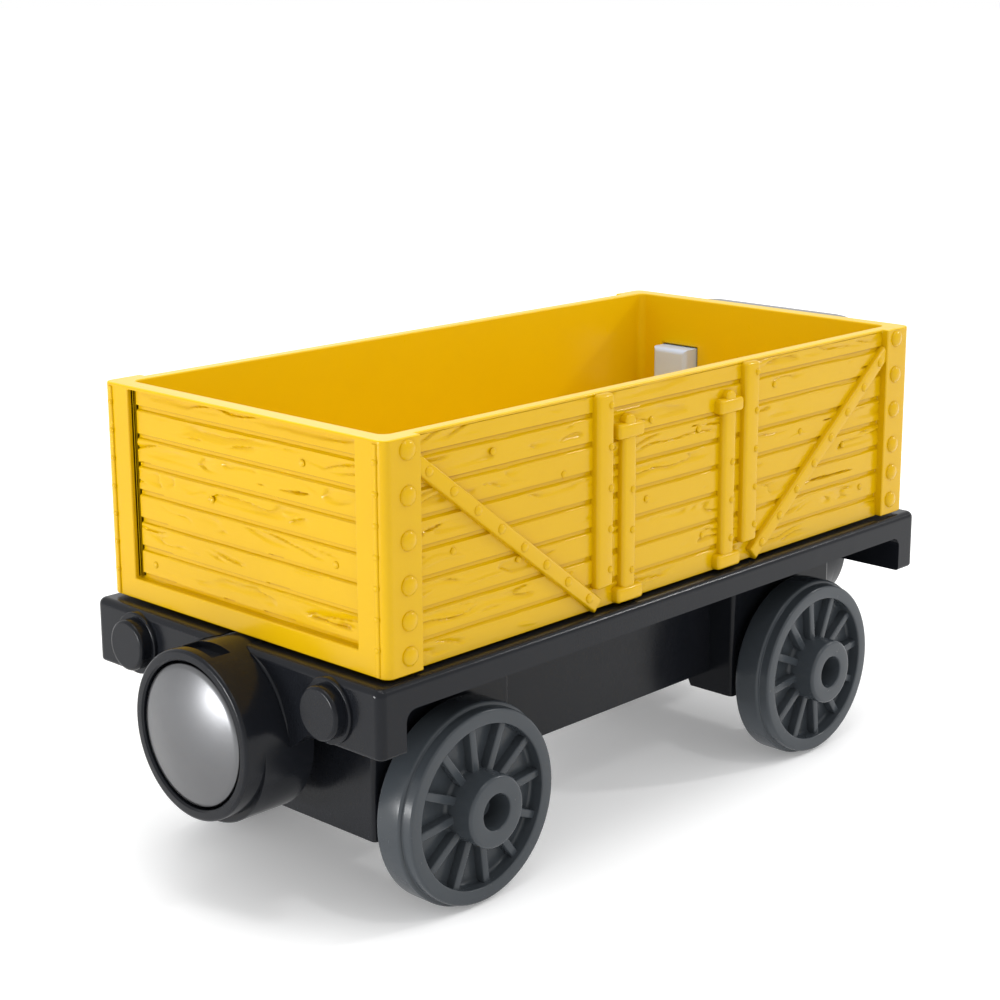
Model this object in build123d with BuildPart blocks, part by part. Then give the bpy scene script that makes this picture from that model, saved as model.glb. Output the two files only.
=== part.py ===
from build123d import *
import os
from math import sqrt

os.makedirs("parts", exist_ok=True)

# Open four-wheel toy wagon for a wooden railway, in millimetres.
# +X is forward (the lever end), +Y is left, +Z is up.
# The origin is at the bottom centre, on the plane that the wheels stand on.

# ---------------------------------------------------------------- wheels and axles
wheel_radius = 8.35
wheel_back_y = 11.8
tread_width = 2.6
ring_step = 0.35
ring_width = 0.97
rim_width = 1.6
spoke_count = 12
spoke_width = 0.8
spoke_height = 0.85
spoke_below_ring = 0.45
spoke_angle = 6.5
hub_radius = 3.0
hub_proud = 1.46
hub_hole_radius = 1.48
hub_hole_depth = 2.4
back_recess_depth = 1.1
axle_radius = 1.0
axle_chamfer = 0.2
axle_end_below_hub = 1.65
bearing_clearance = 0.05
side_play = 0.35
thrust_boss_radius = 2.1
edge_round = 0.3

# ---------------------------------------------------------------- chassis
chassis_length = 70.5
chassis_width = 34.6
wheel_headroom = 2.85
deck_thickness = 2.15
deck_edge_round = 0.6
beam_height = 5.5
beam_thickness = 2.6
beam_corner_radius = 0.7
beam_edge_round = 0.3
arch_corner_radius = 1.0
buffer_side_inset = 5.6
buffer_radius = 2.13
buffer_length = 1.25
buffer_collar_radius = 2.6
buffer_collar_length = 0.3
gusset_width = 2.2
gusset_drop = 1.4
gusset_foot = 0.28

# ---------------------------------------------------------------- underframe
keel_above_axle = 0.1
keel_side_step = 2.65
keel_floor = 2.4
block_length = 15.2
block_wheel_gap = 0.85
block_beam_gap = 2.45
block_below_axle = 1.9
block_floor = 3.0
frame_wall = 1.5
frame_edge_round = 0.4
bearing_length = 2.0
axle_relief = 0.6
pocket_length = 4.5
pocket_width = 10.2
pocket_flare = 1.0

# ---------------------------------------------------------------- magnet couplers
coupler_reach = 4.05
barrel_radius = 6.86
barrel_crest = 0.16
barrel_fit = 0.05
barrel_wall = 0.91
barrel_back_wall = 1.8
barrel_drop = 0.65
ring_length = 1.85
notch_setback = 0.9
notch_width = 4.0
notch_depth = 0.3
notch_length = 2.6
neck_radius = 3.6
neck_bore_radius = 2.5
neck_reach = 0.8
cap_clearance = 0.2
cap_setback = 0.17
cap_dome = 0.85
cap_wall = 0.4
holder_clearance = 0.35
holder_thickness = 1.5
holder_play = 0.2
stub_radius = 1.5
stub_flange_radius = 2.1
stub_flange_length = 0.8
magnet_thickness = 2.4
magnet_clearance = 0.05
magnet_chamfer = 0.25

# ---------------------------------------------------------------- tub
tub_height = 17.93
tub_end_inset = 1.35
tub_side_inset = 0.6
tub_gap = 0.27
side_wall = 1.1
end_wall = 1.6
tub_floor = 1.6
tub_corner_radius = 0.8
plinth_inset = 1.4
top_plank = 1.6
plank_pitch = 2.35
plank_groove = 0.22
recess_depth = 0.5
recess_border = 3.2
recess_bottom = 1.78
rim_height = 0.25
post_width = 3.7
post_proud = 0.65
stanchion_x = 9.65
stanchion_width = 2.0
stanchion_proud = 0.6
stanchion_bottom_gap = 1.7
strap_x = 6.62
strap_width = 1.75
strap_proud = 0.5
strap_cap_width = 3.2
strap_cap_height = 1.3
strap_cap_proud = 0.65
strap_top_drop = 2.9
brace_width = 1.3
brace_proud = 0.45
brace_top_drop = 2.3
brace_bottom_rise = 0.6
rivet_radius = 0.8
rivet_height = 0.4
rivet_taper = 30
rivet_rows = 6
rivet_edge_gap = 1.2
boss_block_gap = 3.5
boss_side_inset = 4.0
boss_radius = 2.1
boss_clearance = 0.1

# ---------------------------------------------------------------- screws
screw_radius = 1.0
screw_length = 9.0
screw_head_radius = 1.9
screw_head_height = 1.3
screw_head_clearance = 0.15
screw_slot_length = 2.5
screw_slot_width = 0.5
screw_slot_depth = 0.6

# ---------------------------------------------------------------- end plate and lever
plate_side_inset = 2.9
plate_deck_gap = 0.8
plate_depth = 3.0
plate_wall = 1.1
plate_above_rim = 0.15
plate_top_radius = 5.0
plate_bottom_radius = 2.1
plate_edge_round = 0.4
window_overlap = 1.3
window_height = 4.4
window_radius = 0.6
peg_radius = 1.0
peg_inset = 3.2
lever_width = 4.3
lever_height = 5.0
lever_reach = 1.75
lever_top_drop = 5.0
lever_floor_gap = 1.33
lever_side_gap = 0.1
lever_round = 0.5
slot_clearance = 0.1
panel_thickness = 1.1
panel_clearance = 0.35
panel_peg_gap = 2.0
panel_bottom_gap = 0.25
panel_rib_inset = 2.3
panel_rib_height = 1.2
panel_rib_proud = 0.3

# ---------------------------------------------------------------- derived places
chassis_end_x = chassis_length / 2
beam_back_x = chassis_end_x - beam_thickness
deck_bottom_z = 2 * wheel_radius + wheel_headroom
deck_top_z = deck_bottom_z + deck_thickness
beam_bottom_z = deck_top_z - beam_height
beam_mid_z = (deck_top_z + beam_bottom_z) / 2
buffer_y = chassis_width / 2 - buffer_side_inset

block_outer_x = beam_back_x - block_beam_gap
block_inner_x = block_outer_x - block_length
half_base = (block_outer_x + block_inner_x) / 2
block_width = 2 * (wheel_back_y - block_wheel_gap)
block_bottom_z = wheel_radius - block_below_axle
block_floor_z = block_bottom_z + block_floor
keel_width = block_width - 2 * keel_side_step
keel_bottom_z = wheel_radius + keel_above_axle

ring_face_y = wheel_back_y + tread_width + ring_width
hub_face_y = ring_face_y + hub_proud
web_face_y = ring_face_y - spoke_below_ring - spoke_height
ring_radius = wheel_radius - ring_step
rim_inner_radius = wheel_radius - rim_width
thrust_face_y = block_width / 2 + side_play
axle_end_y = hub_face_y - axle_end_below_hub

coupler_z = deck_top_z + barrel_crest - barrel_radius
ring_face_x = chassis_end_x + coupler_reach
barrel_back_x = beam_back_x + barrel_fit
barrel_floor_x = barrel_back_x + barrel_back_wall
barrel_bore_radius = barrel_radius - barrel_wall
neck_end_x = block_outer_x - frame_wall - neck_reach
cap_radius = barrel_bore_radius - cap_clearance
cap_edge_x = ring_face_x - cap_setback
holder_radius = barrel_bore_radius - holder_clearance
holder_back_x = barrel_floor_x + holder_play
holder_front_x = holder_back_x + holder_thickness

tub_length = chassis_length - 2 * tub_end_inset
tub_width = chassis_width - 2 * tub_side_inset - 2 * post_proud
tub_bottom_z = deck_top_z + tub_gap
tub_top_z = tub_bottom_z + tub_height
tub_floor_z = tub_bottom_z + tub_floor
tub_end_x = tub_length / 2
tub_side_y = tub_width / 2
boss_x = block_inner_x - boss_block_gap
boss_y = keel_width / 2 - boss_side_inset
boss_bottom_z = keel_bottom_z + keel_floor
screw_seat_z = keel_bottom_z + screw_head_height + screw_head_clearance

plate_width = tub_width - 2 * plate_side_inset
plate_top_z = tub_top_z + plate_above_rim
plate_height = plate_top_z - deck_top_z - plate_deck_gap
plate_mid_z = plate_top_z - plate_height / 2
plate_front_x = tub_end_x + plate_depth
lever_travel = tub_height - tub_floor - lever_top_drop - lever_height - lever_floor_gap
lever_top_z = tub_top_z - lever_top_drop
lever_y = plate_width / 2 - plate_wall - lever_side_gap - lever_width / 2
panel_width = plate_width - 2 * (peg_inset + peg_radius + panel_peg_gap)
panel_top_z = plate_top_z - plate_wall - slot_clearance
panel_height = plate_height - 2 * plate_wall - slot_clearance - lever_travel - panel_bottom_gap
panel_back_x = tub_end_x + panel_clearance
window_z = panel_top_z - panel_height + lever_travel / 2

frame_screw_places = [(x, y) for x in (-boss_x, boss_x) for y in (-boss_y, boss_y)]


def round_corner(sketch, place, radius):
    """Rounds the corner of a sketch that is nearest to a place."""
    fillet(sketch.vertices().sort_by_distance(place)[0], radius)


def write(part, name):
    """Labels a finished piece and writes it as its own file."""
    part.label = name
    export_step(part, f"parts/{name}.step")


# ---------------------------------------------------------------- wheels
# The wheel is turned about its axle line: s runs outward along the axle, r is the radius.
wheel_plane = Plane(origin=(0, 0, wheel_radius), x_dir=(0, -1, 0), z_dir=(-1, 0, 0))
step_y = wheel_back_y + tread_width
hub_floor_y = hub_face_y - hub_hole_depth
recess_floor_y = wheel_back_y + back_recess_depth

with BuildPart() as wheel:
    with BuildSketch(wheel_plane) as wheel_profile:
        with BuildLine():
            Polyline(
                (thrust_face_y, axle_radius),
                (thrust_face_y, thrust_boss_radius),
                (recess_floor_y, thrust_boss_radius),
                (recess_floor_y, rim_inner_radius),
                (wheel_back_y, rim_inner_radius),
                (wheel_back_y, wheel_radius),
                (step_y, wheel_radius),
                (step_y, ring_radius),
                (ring_face_y, ring_radius),
                (ring_face_y, rim_inner_radius),
                (web_face_y, rim_inner_radius),
                (web_face_y, hub_radius),
                (hub_face_y, hub_radius),
                (hub_face_y, hub_hole_radius),
                (hub_floor_y, hub_hole_radius),
                (hub_floor_y, axle_radius),
                close=True,
            )
        make_face()
        round_corner(wheel_profile, (wheel_back_y, wheel_radius), edge_round)
        round_corner(wheel_profile, (step_y, wheel_radius), edge_round)
        round_corner(wheel_profile, (ring_face_y, ring_radius), edge_round)
        round_corner(wheel_profile, (ring_face_y, rim_inner_radius), edge_round / 2)
        round_corner(wheel_profile, (hub_face_y, hub_radius), edge_round)
        round_corner(wheel_profile, (web_face_y, hub_radius), edge_round)
        round_corner(wheel_profile, (web_face_y, rim_inner_radius), edge_round)
    revolve(axis=Axis((0, 0, wheel_radius), (0, 1, 0)))
    spoke_length = rim_inner_radius - hub_radius + 2 * edge_round
    spoke_mid = (rim_inner_radius + hub_radius) / 2
    spoke_plane = Plane(
        origin=(0, -web_face_y + edge_round, wheel_radius),
        x_dir=(1, 0, 0),
        z_dir=(0, -1, 0),
    )
    with BuildSketch(spoke_plane):
        with PolarLocations(spoke_mid, spoke_count, start_angle=spoke_angle):
            Rectangle(spoke_length, spoke_width)
    extrude(amount=spoke_height + edge_round)

for end_name, end_x in (("rear", -half_base), ("front", half_base)):
    right_wheel = wheel.part.moved(Location((end_x, 0, 0)))
    write(right_wheel, f"wheel_{end_name}_right")
    write(mirror(right_wheel, about=Plane.XZ), f"wheel_{end_name}_left")

    with BuildPart() as axle:
        with BuildSketch(Plane.XZ.offset(-axle_end_y)):
            with Locations((end_x, wheel_radius)):
                Circle(axle_radius)
        extrude(amount=2 * axle_end_y)
        chamfer(axle.edges().filter_by(GeomType.CIRCLE), axle_chamfer)
    write(axle.part, f"axle_{end_name}")


# ---------------------------------------------------------------- magnet couplers, modelled at the rear end
axis_point = (0, 0, coupler_z)
coupler_axis = Axis(axis_point, (1, 0, 0))
coupler_plane = Plane(origin=axis_point, x_dir=(-1, 0, 0), z_dir=(0, 1, 0))
barrel_end_plane = Plane(origin=axis_point, x_dir=(0, -1, 0), z_dir=(-1, 0, 0))


def barrel_outline(grow, bottom=True):
    """Draws the barrel's cross-section, a circle whose lower half hangs a little."""
    Circle(barrel_radius + grow)
    if bottom:
        with Locations((0, -barrel_drop)):
            Circle(barrel_radius + grow)
        with Locations((0, -barrel_drop / 2)):
            Rectangle(2 * (barrel_radius + grow), barrel_drop)


with BuildPart() as coupler_barrel_rear:
    with BuildSketch(barrel_end_plane.offset(barrel_back_x)):
        barrel_outline(0)
    extrude(amount=ring_face_x - ring_length - barrel_back_x)
    with BuildSketch(coupler_plane) as ring_profile:
        with BuildLine():
            Polyline(
                (ring_face_x - ring_length - edge_round, 0),
                (ring_face_x - ring_length - edge_round, barrel_radius),
                (ring_face_x, barrel_radius),
                (ring_face_x, 0),
                close=True,
            )
        make_face()
        round_corner(ring_profile, (ring_face_x, barrel_radius), edge_round)
    revolve(axis=coupler_axis)
    with BuildSketch(coupler_plane):
        with BuildLine():
            Polyline(
                (neck_end_x, 0),
                (neck_end_x, neck_radius),
                (barrel_back_x, neck_radius),
                (barrel_back_x, 0),
                close=True,
            )
        make_face()
    revolve(axis=coupler_axis)
    with BuildSketch(coupler_plane):
        with BuildLine():
            Polyline(
                (neck_end_x, 0),
                (neck_end_x, neck_bore_radius),
                (barrel_back_x, neck_bore_radius),
                (barrel_back_x, stub_radius + bearing_clearance),
                (barrel_floor_x, stub_radius + bearing_clearance),
                (barrel_floor_x, barrel_bore_radius),
                (ring_face_x, barrel_bore_radius),
                (ring_face_x, 0),
                close=True,
            )
        make_face()
    revolve(axis=coupler_axis, mode=Mode.SUBTRACT)
    # Shallow finger notch behind the ring, running out towards the beam.
    notch_front_x = ring_face_x - notch_setback
    with BuildSketch(coupler_plane):
        with BuildLine():
            Polyline(
                (notch_front_x, barrel_radius - notch_depth),
                (notch_front_x, barrel_radius + notch_depth),
                (notch_front_x - 2 * notch_length, barrel_radius + notch_depth),
                (notch_front_x - notch_length, barrel_radius),
                close=True,
            )
        make_face()
    extrude(amount=notch_width / 2, both=True, mode=Mode.SUBTRACT)

# Domed cap: a thin steel cup with a dish-shaped face.
dome_radius = (cap_radius**2 + cap_dome**2) / (2 * cap_dome)
inner_cap_radius = cap_radius - cap_wall
inner_dome_x = cap_edge_x + cap_dome - cap_wall
magnet_radius = inner_cap_radius - magnet_clearance
with BuildPart() as magnet_cap_rear:
    with BuildSketch(coupler_plane):
        with BuildLine():
            Line((holder_front_x, inner_cap_radius), (holder_front_x, cap_radius))
            Line((holder_front_x, cap_radius), (cap_edge_x, cap_radius))
            RadiusArc((cap_edge_x, cap_radius), (cap_edge_x + cap_dome, 0), dome_radius)
            Line((cap_edge_x + cap_dome, 0), (inner_dome_x, 0))
            RadiusArc((inner_dome_x, 0), (cap_edge_x - cap_wall, inner_cap_radius), -dome_radius)
            Line((cap_edge_x - cap_wall, inner_cap_radius), (holder_front_x, inner_cap_radius))
        make_face()
    revolve(axis=coupler_axis)

with BuildPart() as magnet_rear:
    with BuildSketch(barrel_end_plane.offset(holder_front_x)):
        Circle(magnet_radius)
    extrude(amount=magnet_thickness)
    chamfer(magnet_rear.edges().filter_by(GeomType.CIRCLE), magnet_chamfer)

with BuildPart() as magnet_holder_rear:
    stub_end_x = barrel_back_x - holder_play
    with BuildSketch(coupler_plane):
        with BuildLine():
            Polyline(
                (stub_end_x - stub_flange_length, 0),
                (stub_end_x - stub_flange_length, stub_flange_radius),
                (stub_end_x, stub_flange_radius),
                (stub_end_x, stub_radius),
                (holder_back_x, stub_radius),
                (holder_back_x, holder_radius),
                (holder_front_x, holder_radius),
                (holder_front_x, 0),
                close=True,
            )
        make_face()
    revolve(axis=coupler_axis)

coupler_pieces = (
    ("coupler_barrel", coupler_barrel_rear),
    ("magnet_cap", magnet_cap_rear),
    ("magnet", magnet_rear),
    ("magnet_holder", magnet_holder_rear),
)
for piece_name, piece in coupler_pieces:
    write(piece.part, f"{piece_name}_rear")
    write(mirror(piece.part, about=Plane.YZ), f"{piece_name}_front")


# ---------------------------------------------------------------- chassis
with BuildPart() as chassis:
    with BuildSketch(Plane.XY.offset(beam_bottom_z)):
        RectangleRounded(chassis_length, chassis_width, beam_corner_radius)
    extrude(amount=deck_top_z - beam_bottom_z)
    fillet(chassis.edges().group_by(Axis.Z)[-1], deck_edge_round)
    fillet(chassis.edges().group_by(Axis.Z)[0], beam_edge_round)
    # Below the deck only the two end beams are left.
    with BuildSketch(Plane.XZ.offset(-chassis_width)) as arch:
        with Locations((0, beam_bottom_z)):
            Rectangle(2 * beam_back_x, 2 * (deck_bottom_z - beam_bottom_z))
        fillet(arch.vertices().group_by(Axis.Y)[-1], arch_corner_radius)
    extrude(amount=2 * chassis_width, mode=Mode.SUBTRACT)

    for side in (-1, 1):
        end_plane = Plane(
            origin=(side * chassis_end_x, 0, 0), x_dir=(0, side, 0), z_dir=(side, 0, 0)
        )
        # Gussets beside the coupler, under the beam.
        with BuildSketch(end_plane):
            for hand in (-1, 1):
                with BuildLine():
                    Polyline(
                        (hand * (barrel_radius - gusset_foot), beam_bottom_z + beam_edge_round),
                        (hand * (barrel_radius + gusset_width), beam_bottom_z + beam_edge_round),
                        (hand * (barrel_radius + gusset_width), beam_bottom_z),
                        (hand * (barrel_radius + gusset_foot), beam_bottom_z - gusset_drop),
                        (hand * (barrel_radius - gusset_foot), beam_bottom_z - gusset_drop),
                        close=True,
                    )
                make_face()
        extrude(amount=-beam_thickness)
        # Notch that the coupler barrel sits in.
        with BuildSketch(end_plane):
            with Locations((0, coupler_z)):
                barrel_outline(barrel_fit)
        extrude(amount=-beam_thickness, mode=Mode.SUBTRACT)
        # Buffers, each turned about its own axis.
        for buffer_middle_y in (-buffer_y, buffer_y):
            buffer_plane = Plane(
                origin=(side * chassis_end_x, buffer_middle_y, beam_mid_z),
                x_dir=(side, 0, 0),
                z_dir=(0, -side, 0),
            )
            with BuildSketch(buffer_plane) as buffer_profile:
                with BuildLine():
                    Polyline(
                        (-beam_edge_round, 0),
                        (-beam_edge_round, buffer_collar_radius),
                        (buffer_collar_length, buffer_collar_radius),
                        (buffer_collar_length, buffer_radius),
                        (buffer_length, buffer_radius),
                        (buffer_length, 0),
                        close=True,
                    )
                make_face()
                round_corner(
                    buffer_profile,
                    (buffer_collar_length, buffer_collar_radius),
                    buffer_collar_length / 2,
                )
                round_corner(buffer_profile, (buffer_length, buffer_radius), edge_round)
            revolve(axis=Axis((0, buffer_middle_y, beam_mid_z), (1, 0, 0)))

    # Holes for the tub's screw bosses.
    with BuildSketch(Plane.XY.offset(deck_top_z)):
        with Locations(*frame_screw_places):
            Circle(boss_radius + boss_clearance)
    extrude(amount=-2 * deck_thickness, mode=Mode.SUBTRACT)
write(chassis.part, "chassis")


# ---------------------------------------------------------------- underframe
with BuildPart() as underframe:
    with BuildSketch(Plane.XY.offset(keel_bottom_z)):
        Rectangle(2 * block_inner_x, keel_width)
    extrude(amount=deck_bottom_z - keel_bottom_z)
    with BuildSketch(Plane.XY.offset(block_bottom_z)):
        with Locations((-half_base, 0), (half_base, 0)):
            Rectangle(block_length, block_width)
    extrude(amount=deck_bottom_z - block_bottom_z)
    outer_uprights = underframe.edges().filter_by(Axis.Z).group_by(SortBy.LENGTH)[-1]
    fillet(outer_uprights, frame_edge_round)
    # Hollow inside, open at the top under the deck.
    with BuildSketch(Plane.XY.offset(deck_bottom_z)):
        Rectangle(2 * (block_inner_x + frame_wall), keel_width - 2 * frame_wall)
    extrude(amount=boss_bottom_z - deck_bottom_z, mode=Mode.SUBTRACT)
    with BuildSketch(Plane.XY.offset(deck_bottom_z)):
        with Locations((-half_base, 0), (half_base, 0)):
            Rectangle(block_length - 2 * frame_wall, block_width - 2 * bearing_length)
    extrude(amount=block_floor_z - deck_bottom_z, mode=Mode.SUBTRACT)
    # Bearings: a close bore at each side and a wider one between them.
    with BuildSketch(Plane.XZ.offset(-block_width / 2)):
        with Locations((-half_base, wheel_radius), (half_base, wheel_radius)):
            Circle(axle_radius + bearing_clearance)
    extrude(amount=block_width, mode=Mode.SUBTRACT)
    with BuildSketch(Plane.XZ.offset(bearing_length - block_width / 2)):
        with Locations((-half_base, wheel_radius), (half_base, wheel_radius)):
            Circle(axle_radius + axle_relief)
    extrude(amount=block_width - 2 * bearing_length, mode=Mode.SUBTRACT)
    for side in (-1, 1):
        end_plane = Plane(
            origin=(side * block_outer_x, 0, 0), x_dir=(0, side, 0), z_dir=(side, 0, 0)
        )
        with BuildSketch(end_plane):
            with Locations((0, coupler_z)):
                Circle(neck_radius)
        extrude(amount=-2 * frame_wall, mode=Mode.SUBTRACT)
        # Pocket under the inner end of the axle block, with sloping sides.
        pocket_plane = Plane(
            origin=(side * block_inner_x, 0, 0), x_dir=(0, side, 0), z_dir=(side, 0, 0)
        )
        with BuildSketch(pocket_plane):
            with BuildLine():
                Polyline(
                    (-pocket_width / 2 - pocket_flare, block_bottom_z),
                    (pocket_width / 2 + pocket_flare, block_bottom_z),
                    (pocket_width / 2, keel_bottom_z),
                    (-pocket_width / 2, keel_bottom_z),
                    close=True,
                )
            make_face()
        extrude(amount=pocket_length, mode=Mode.SUBTRACT)
    with BuildSketch(Plane.XY.offset(keel_bottom_z)):
        with Locations(*frame_screw_places):
            Circle(screw_head_radius + screw_head_clearance)
    extrude(amount=screw_seat_z - keel_bottom_z, mode=Mode.SUBTRACT)
    with BuildSketch(Plane.XY.offset(keel_bottom_z)):
        with Locations(*frame_screw_places):
            Circle(screw_radius + screw_head_clearance)
    extrude(amount=keel_floor, mode=Mode.SUBTRACT)
write(underframe.part, "underframe")

with BuildPart() as frame_screws:
    with BuildSketch(Plane.XY.offset(screw_seat_z)):
        with Locations(*frame_screw_places):
            Circle(screw_head_radius)
    extrude(amount=-screw_head_height)
    with BuildSketch(Plane.XY.offset(screw_seat_z)):
        with Locations(*frame_screw_places):
            Circle(screw_radius)
    extrude(amount=screw_length)
    with BuildSketch(Plane.XY.offset(screw_seat_z - screw_head_height)):
        with Locations(*frame_screw_places):
            Rectangle(screw_slot_length, screw_slot_width)
            Rectangle(screw_slot_width, screw_slot_length)
    extrude(amount=screw_slot_depth, mode=Mode.SUBTRACT)
write(frame_screws.part, "frame_screws")


# ---------------------------------------------------------------- tub
inner_end_x = tub_end_x - end_wall
inner_side_y = tub_side_y - side_wall
post_inner_x = tub_end_x - post_width
brace_foot_x = stanchion_x + stanchion_width / 2
top_seam_z = tub_top_z - top_plank
seam_count = int((tub_height - top_plank) / plank_pitch) + 1
seam_places = [top_seam_z - row * plank_pitch for row in range(seam_count)]
recess_half_width = tub_side_y + post_proud - recess_border
peg_places = [
    (plate_width / 2 - peg_inset, plate_top_z - peg_inset),
    (-plate_width / 2 + peg_inset, plate_top_z - peg_inset),
    (-plate_width / 2 + peg_inset, plate_top_z - plate_height + peg_inset),
]


def lever_outline(grow, drop):
    """Draws the lever's cross-section, grown on every side and reaching down by a drop."""
    with Locations((lever_y, lever_top_z - (lever_height + drop) / 2)):
        Rectangle(lever_width + 2 * grow, lever_height + drop + 2 * grow)


with BuildPart() as tub:
    with BuildSketch(Plane.XY.offset(tub_bottom_z)):
        Rectangle(tub_length, tub_width)
        for corner_x in (-1, 1):
            with Locations((corner_x * (tub_end_x - post_width / 2), 0)):
                Rectangle(post_width, tub_width + 2 * post_proud)
    extrude(amount=tub_height)
    uprights = tub.edges().filter_by(Axis.Z)
    corner_uprights = uprights.filter_by(lambda e: abs(e.center().X) > tub_end_x - post_width / 2)
    fillet(corner_uprights, tub_corner_radius)
    with BuildSketch(Plane.XY.offset(deck_top_z)):
        Rectangle(tub_length - 2 * plinth_inset, tub_width - 2 * plinth_inset)
    extrude(amount=tub_gap)
    with BuildSketch(Plane.XY.offset(tub_floor_z)):
        RectangleRounded(2 * inner_end_x, 2 * inner_side_y, tub_corner_radius)
    extrude(amount=tub_height, mode=Mode.SUBTRACT)

    for side in (-1, 1):
        side_plane = Plane(
            origin=(0, side * tub_side_y, 0), x_dir=(-side, 0, 0), z_dir=(0, side, 0)
        )
        # Plank seams.
        with BuildSketch(side_plane):
            for seam_z in seam_places:
                with Locations((0, seam_z)):
                    Rectangle(2 * post_inner_x, plank_groove)
        extrude(amount=-plank_groove, mode=Mode.SUBTRACT)
        # Stanchions beside the door.
        with BuildSketch(side_plane):
            for hand in (-1, 1):
                with Locations((hand * stanchion_x, tub_bottom_z + stanchion_bottom_gap)):
                    Rectangle(
                        stanchion_width,
                        tub_height - stanchion_bottom_gap,
                        align=(Align.CENTER, Align.MIN),
                    )
        extrude(amount=stanchion_proud)
        # Door straps with a cap at each end.
        strap_height = tub_height - strap_top_drop
        with BuildSketch(side_plane):
            for hand in (-1, 1):
                with Locations((hand * strap_x, tub_bottom_z)):
                    Rectangle(strap_width, strap_height, align=(Align.CENTER, Align.MIN))
        extrude(amount=strap_proud)
        with BuildSketch(side_plane):
            for hand in (-1, 1):
                for cap_z in (tub_bottom_z, tub_bottom_z + strap_height - strap_cap_height):
                    with Locations((hand * strap_x, cap_z)):
                        Rectangle(
                            strap_cap_width, strap_cap_height, align=(Align.CENTER, Align.MIN)
                        )
        extrude(amount=strap_cap_proud)
        # Diagonal braces, from the top of each corner post to the foot of the stanchion.
        brace_rise = tub_height - brace_top_drop - brace_bottom_rise
        brace_run = post_inner_x - brace_foot_x
        brace_half = brace_width / 2 * sqrt(1 + (brace_rise / brace_run) ** 2)
        foot_z = tub_bottom_z + brace_bottom_rise
        with BuildSketch(side_plane):
            for hand in (-1, 1):
                with BuildLine():
                    Polyline(
                        (hand * brace_foot_x, foot_z),
                        (hand * post_inner_x, foot_z + brace_rise - brace_half),
                        (hand * post_inner_x, foot_z + brace_rise + brace_half),
                        (hand * brace_foot_x, foot_z + 2 * brace_half),
                        close=True,
                    )
                make_face()
        extrude(amount=brace_proud)
        # Rivets down the corner posts.
        rivet_x = tub_end_x - post_width / 2
        rivet_pitch = (tub_height - 2 * rivet_edge_gap) / (rivet_rows - 1)
        with BuildSketch(side_plane.offset(post_proud)):
            for hand in (-1, 1):
                for row in range(rivet_rows):
                    rivet_z = tub_bottom_z + rivet_edge_gap + row * rivet_pitch
                    with Locations((hand * rivet_x, rivet_z)):
                        Circle(rivet_radius)
        extrude(amount=rivet_height, taper=rivet_taper)

    # Recessed plank panel in the rear end wall.
    rear_plane = Plane(origin=(-tub_end_x, 0, 0), x_dir=(0, -1, 0), z_dir=(-1, 0, 0))
    with BuildSketch(rear_plane):
        with Locations((0, tub_bottom_z + recess_bottom)):
            Rectangle(
                2 * recess_half_width,
                tub_height - recess_bottom - rim_height,
                align=(Align.CENTER, Align.MIN),
            )
    extrude(amount=-recess_depth, mode=Mode.SUBTRACT)
    with BuildSketch(rear_plane.offset(-recess_depth)):
        for seam_z in seam_places:
            with Locations((0, seam_z)):
                Rectangle(2 * recess_half_width, plank_groove)
    extrude(amount=-plank_groove, mode=Mode.SUBTRACT)

    # Slot for the lever and holes for the end plate's pegs, in the front end wall.
    with BuildSketch(Plane.YZ.offset(tub_end_x)):
        lever_outline(slot_clearance, lever_travel)
        with Locations(*peg_places):
            Circle(peg_radius)
    extrude(amount=-end_wall, mode=Mode.SUBTRACT)

    # Screw bosses that reach down through the deck to the keel floor.
    with BuildSketch(Plane.XY.offset(boss_bottom_z)):
        with Locations(*frame_screw_places):
            Circle(boss_radius)
    extrude(amount=deck_top_z - boss_bottom_z)
    with BuildSketch(Plane.XY.offset(boss_bottom_z)):
        with Locations(*frame_screw_places):
            Circle(screw_radius)
    extrude(amount=screw_length, mode=Mode.SUBTRACT)
write(tub.part, "tub")


# ---------------------------------------------------------------- end plate
with BuildPart() as end_plate:
    with BuildSketch(Plane.YZ.offset(tub_end_x)) as plate_outline:
        with Locations((0, plate_mid_z)):
            Rectangle(plate_width, plate_height)
        fillet(plate_outline.vertices().group_by(Axis.Y)[-1], plate_top_radius)
        fillet(plate_outline.vertices().group_by(Axis.Y)[0], plate_bottom_radius)
    extrude(amount=plate_depth)
    fillet(end_plate.faces().sort_by(Axis.X)[-1].edges(), plate_edge_round)
    with BuildSketch(Plane.YZ.offset(tub_end_x)) as plate_hollow:
        with Locations((0, plate_mid_z)):
            Rectangle(plate_width - 2 * plate_wall, plate_height - 2 * plate_wall)
        fillet(plate_hollow.vertices().group_by(Axis.Y)[-1], plate_top_radius - plate_wall)
        fillet(plate_hollow.vertices().group_by(Axis.Y)[0], plate_bottom_radius - plate_wall)
    extrude(amount=plate_depth - plate_wall, mode=Mode.SUBTRACT)
    with BuildSketch(Plane.YZ.offset(plate_front_x)):
        with Locations((0, window_z)):
            RectangleRounded(panel_width - 2 * window_overlap, window_height, window_radius)
    extrude(amount=-plate_wall, mode=Mode.SUBTRACT)
    with BuildSketch(Plane.YZ.offset(plate_front_x - plate_wall)):
        with Locations(*peg_places):
            Circle(peg_radius)
    extrude(amount=plate_wall - plate_depth - end_wall)
write(end_plate.part, "end_plate")

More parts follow.
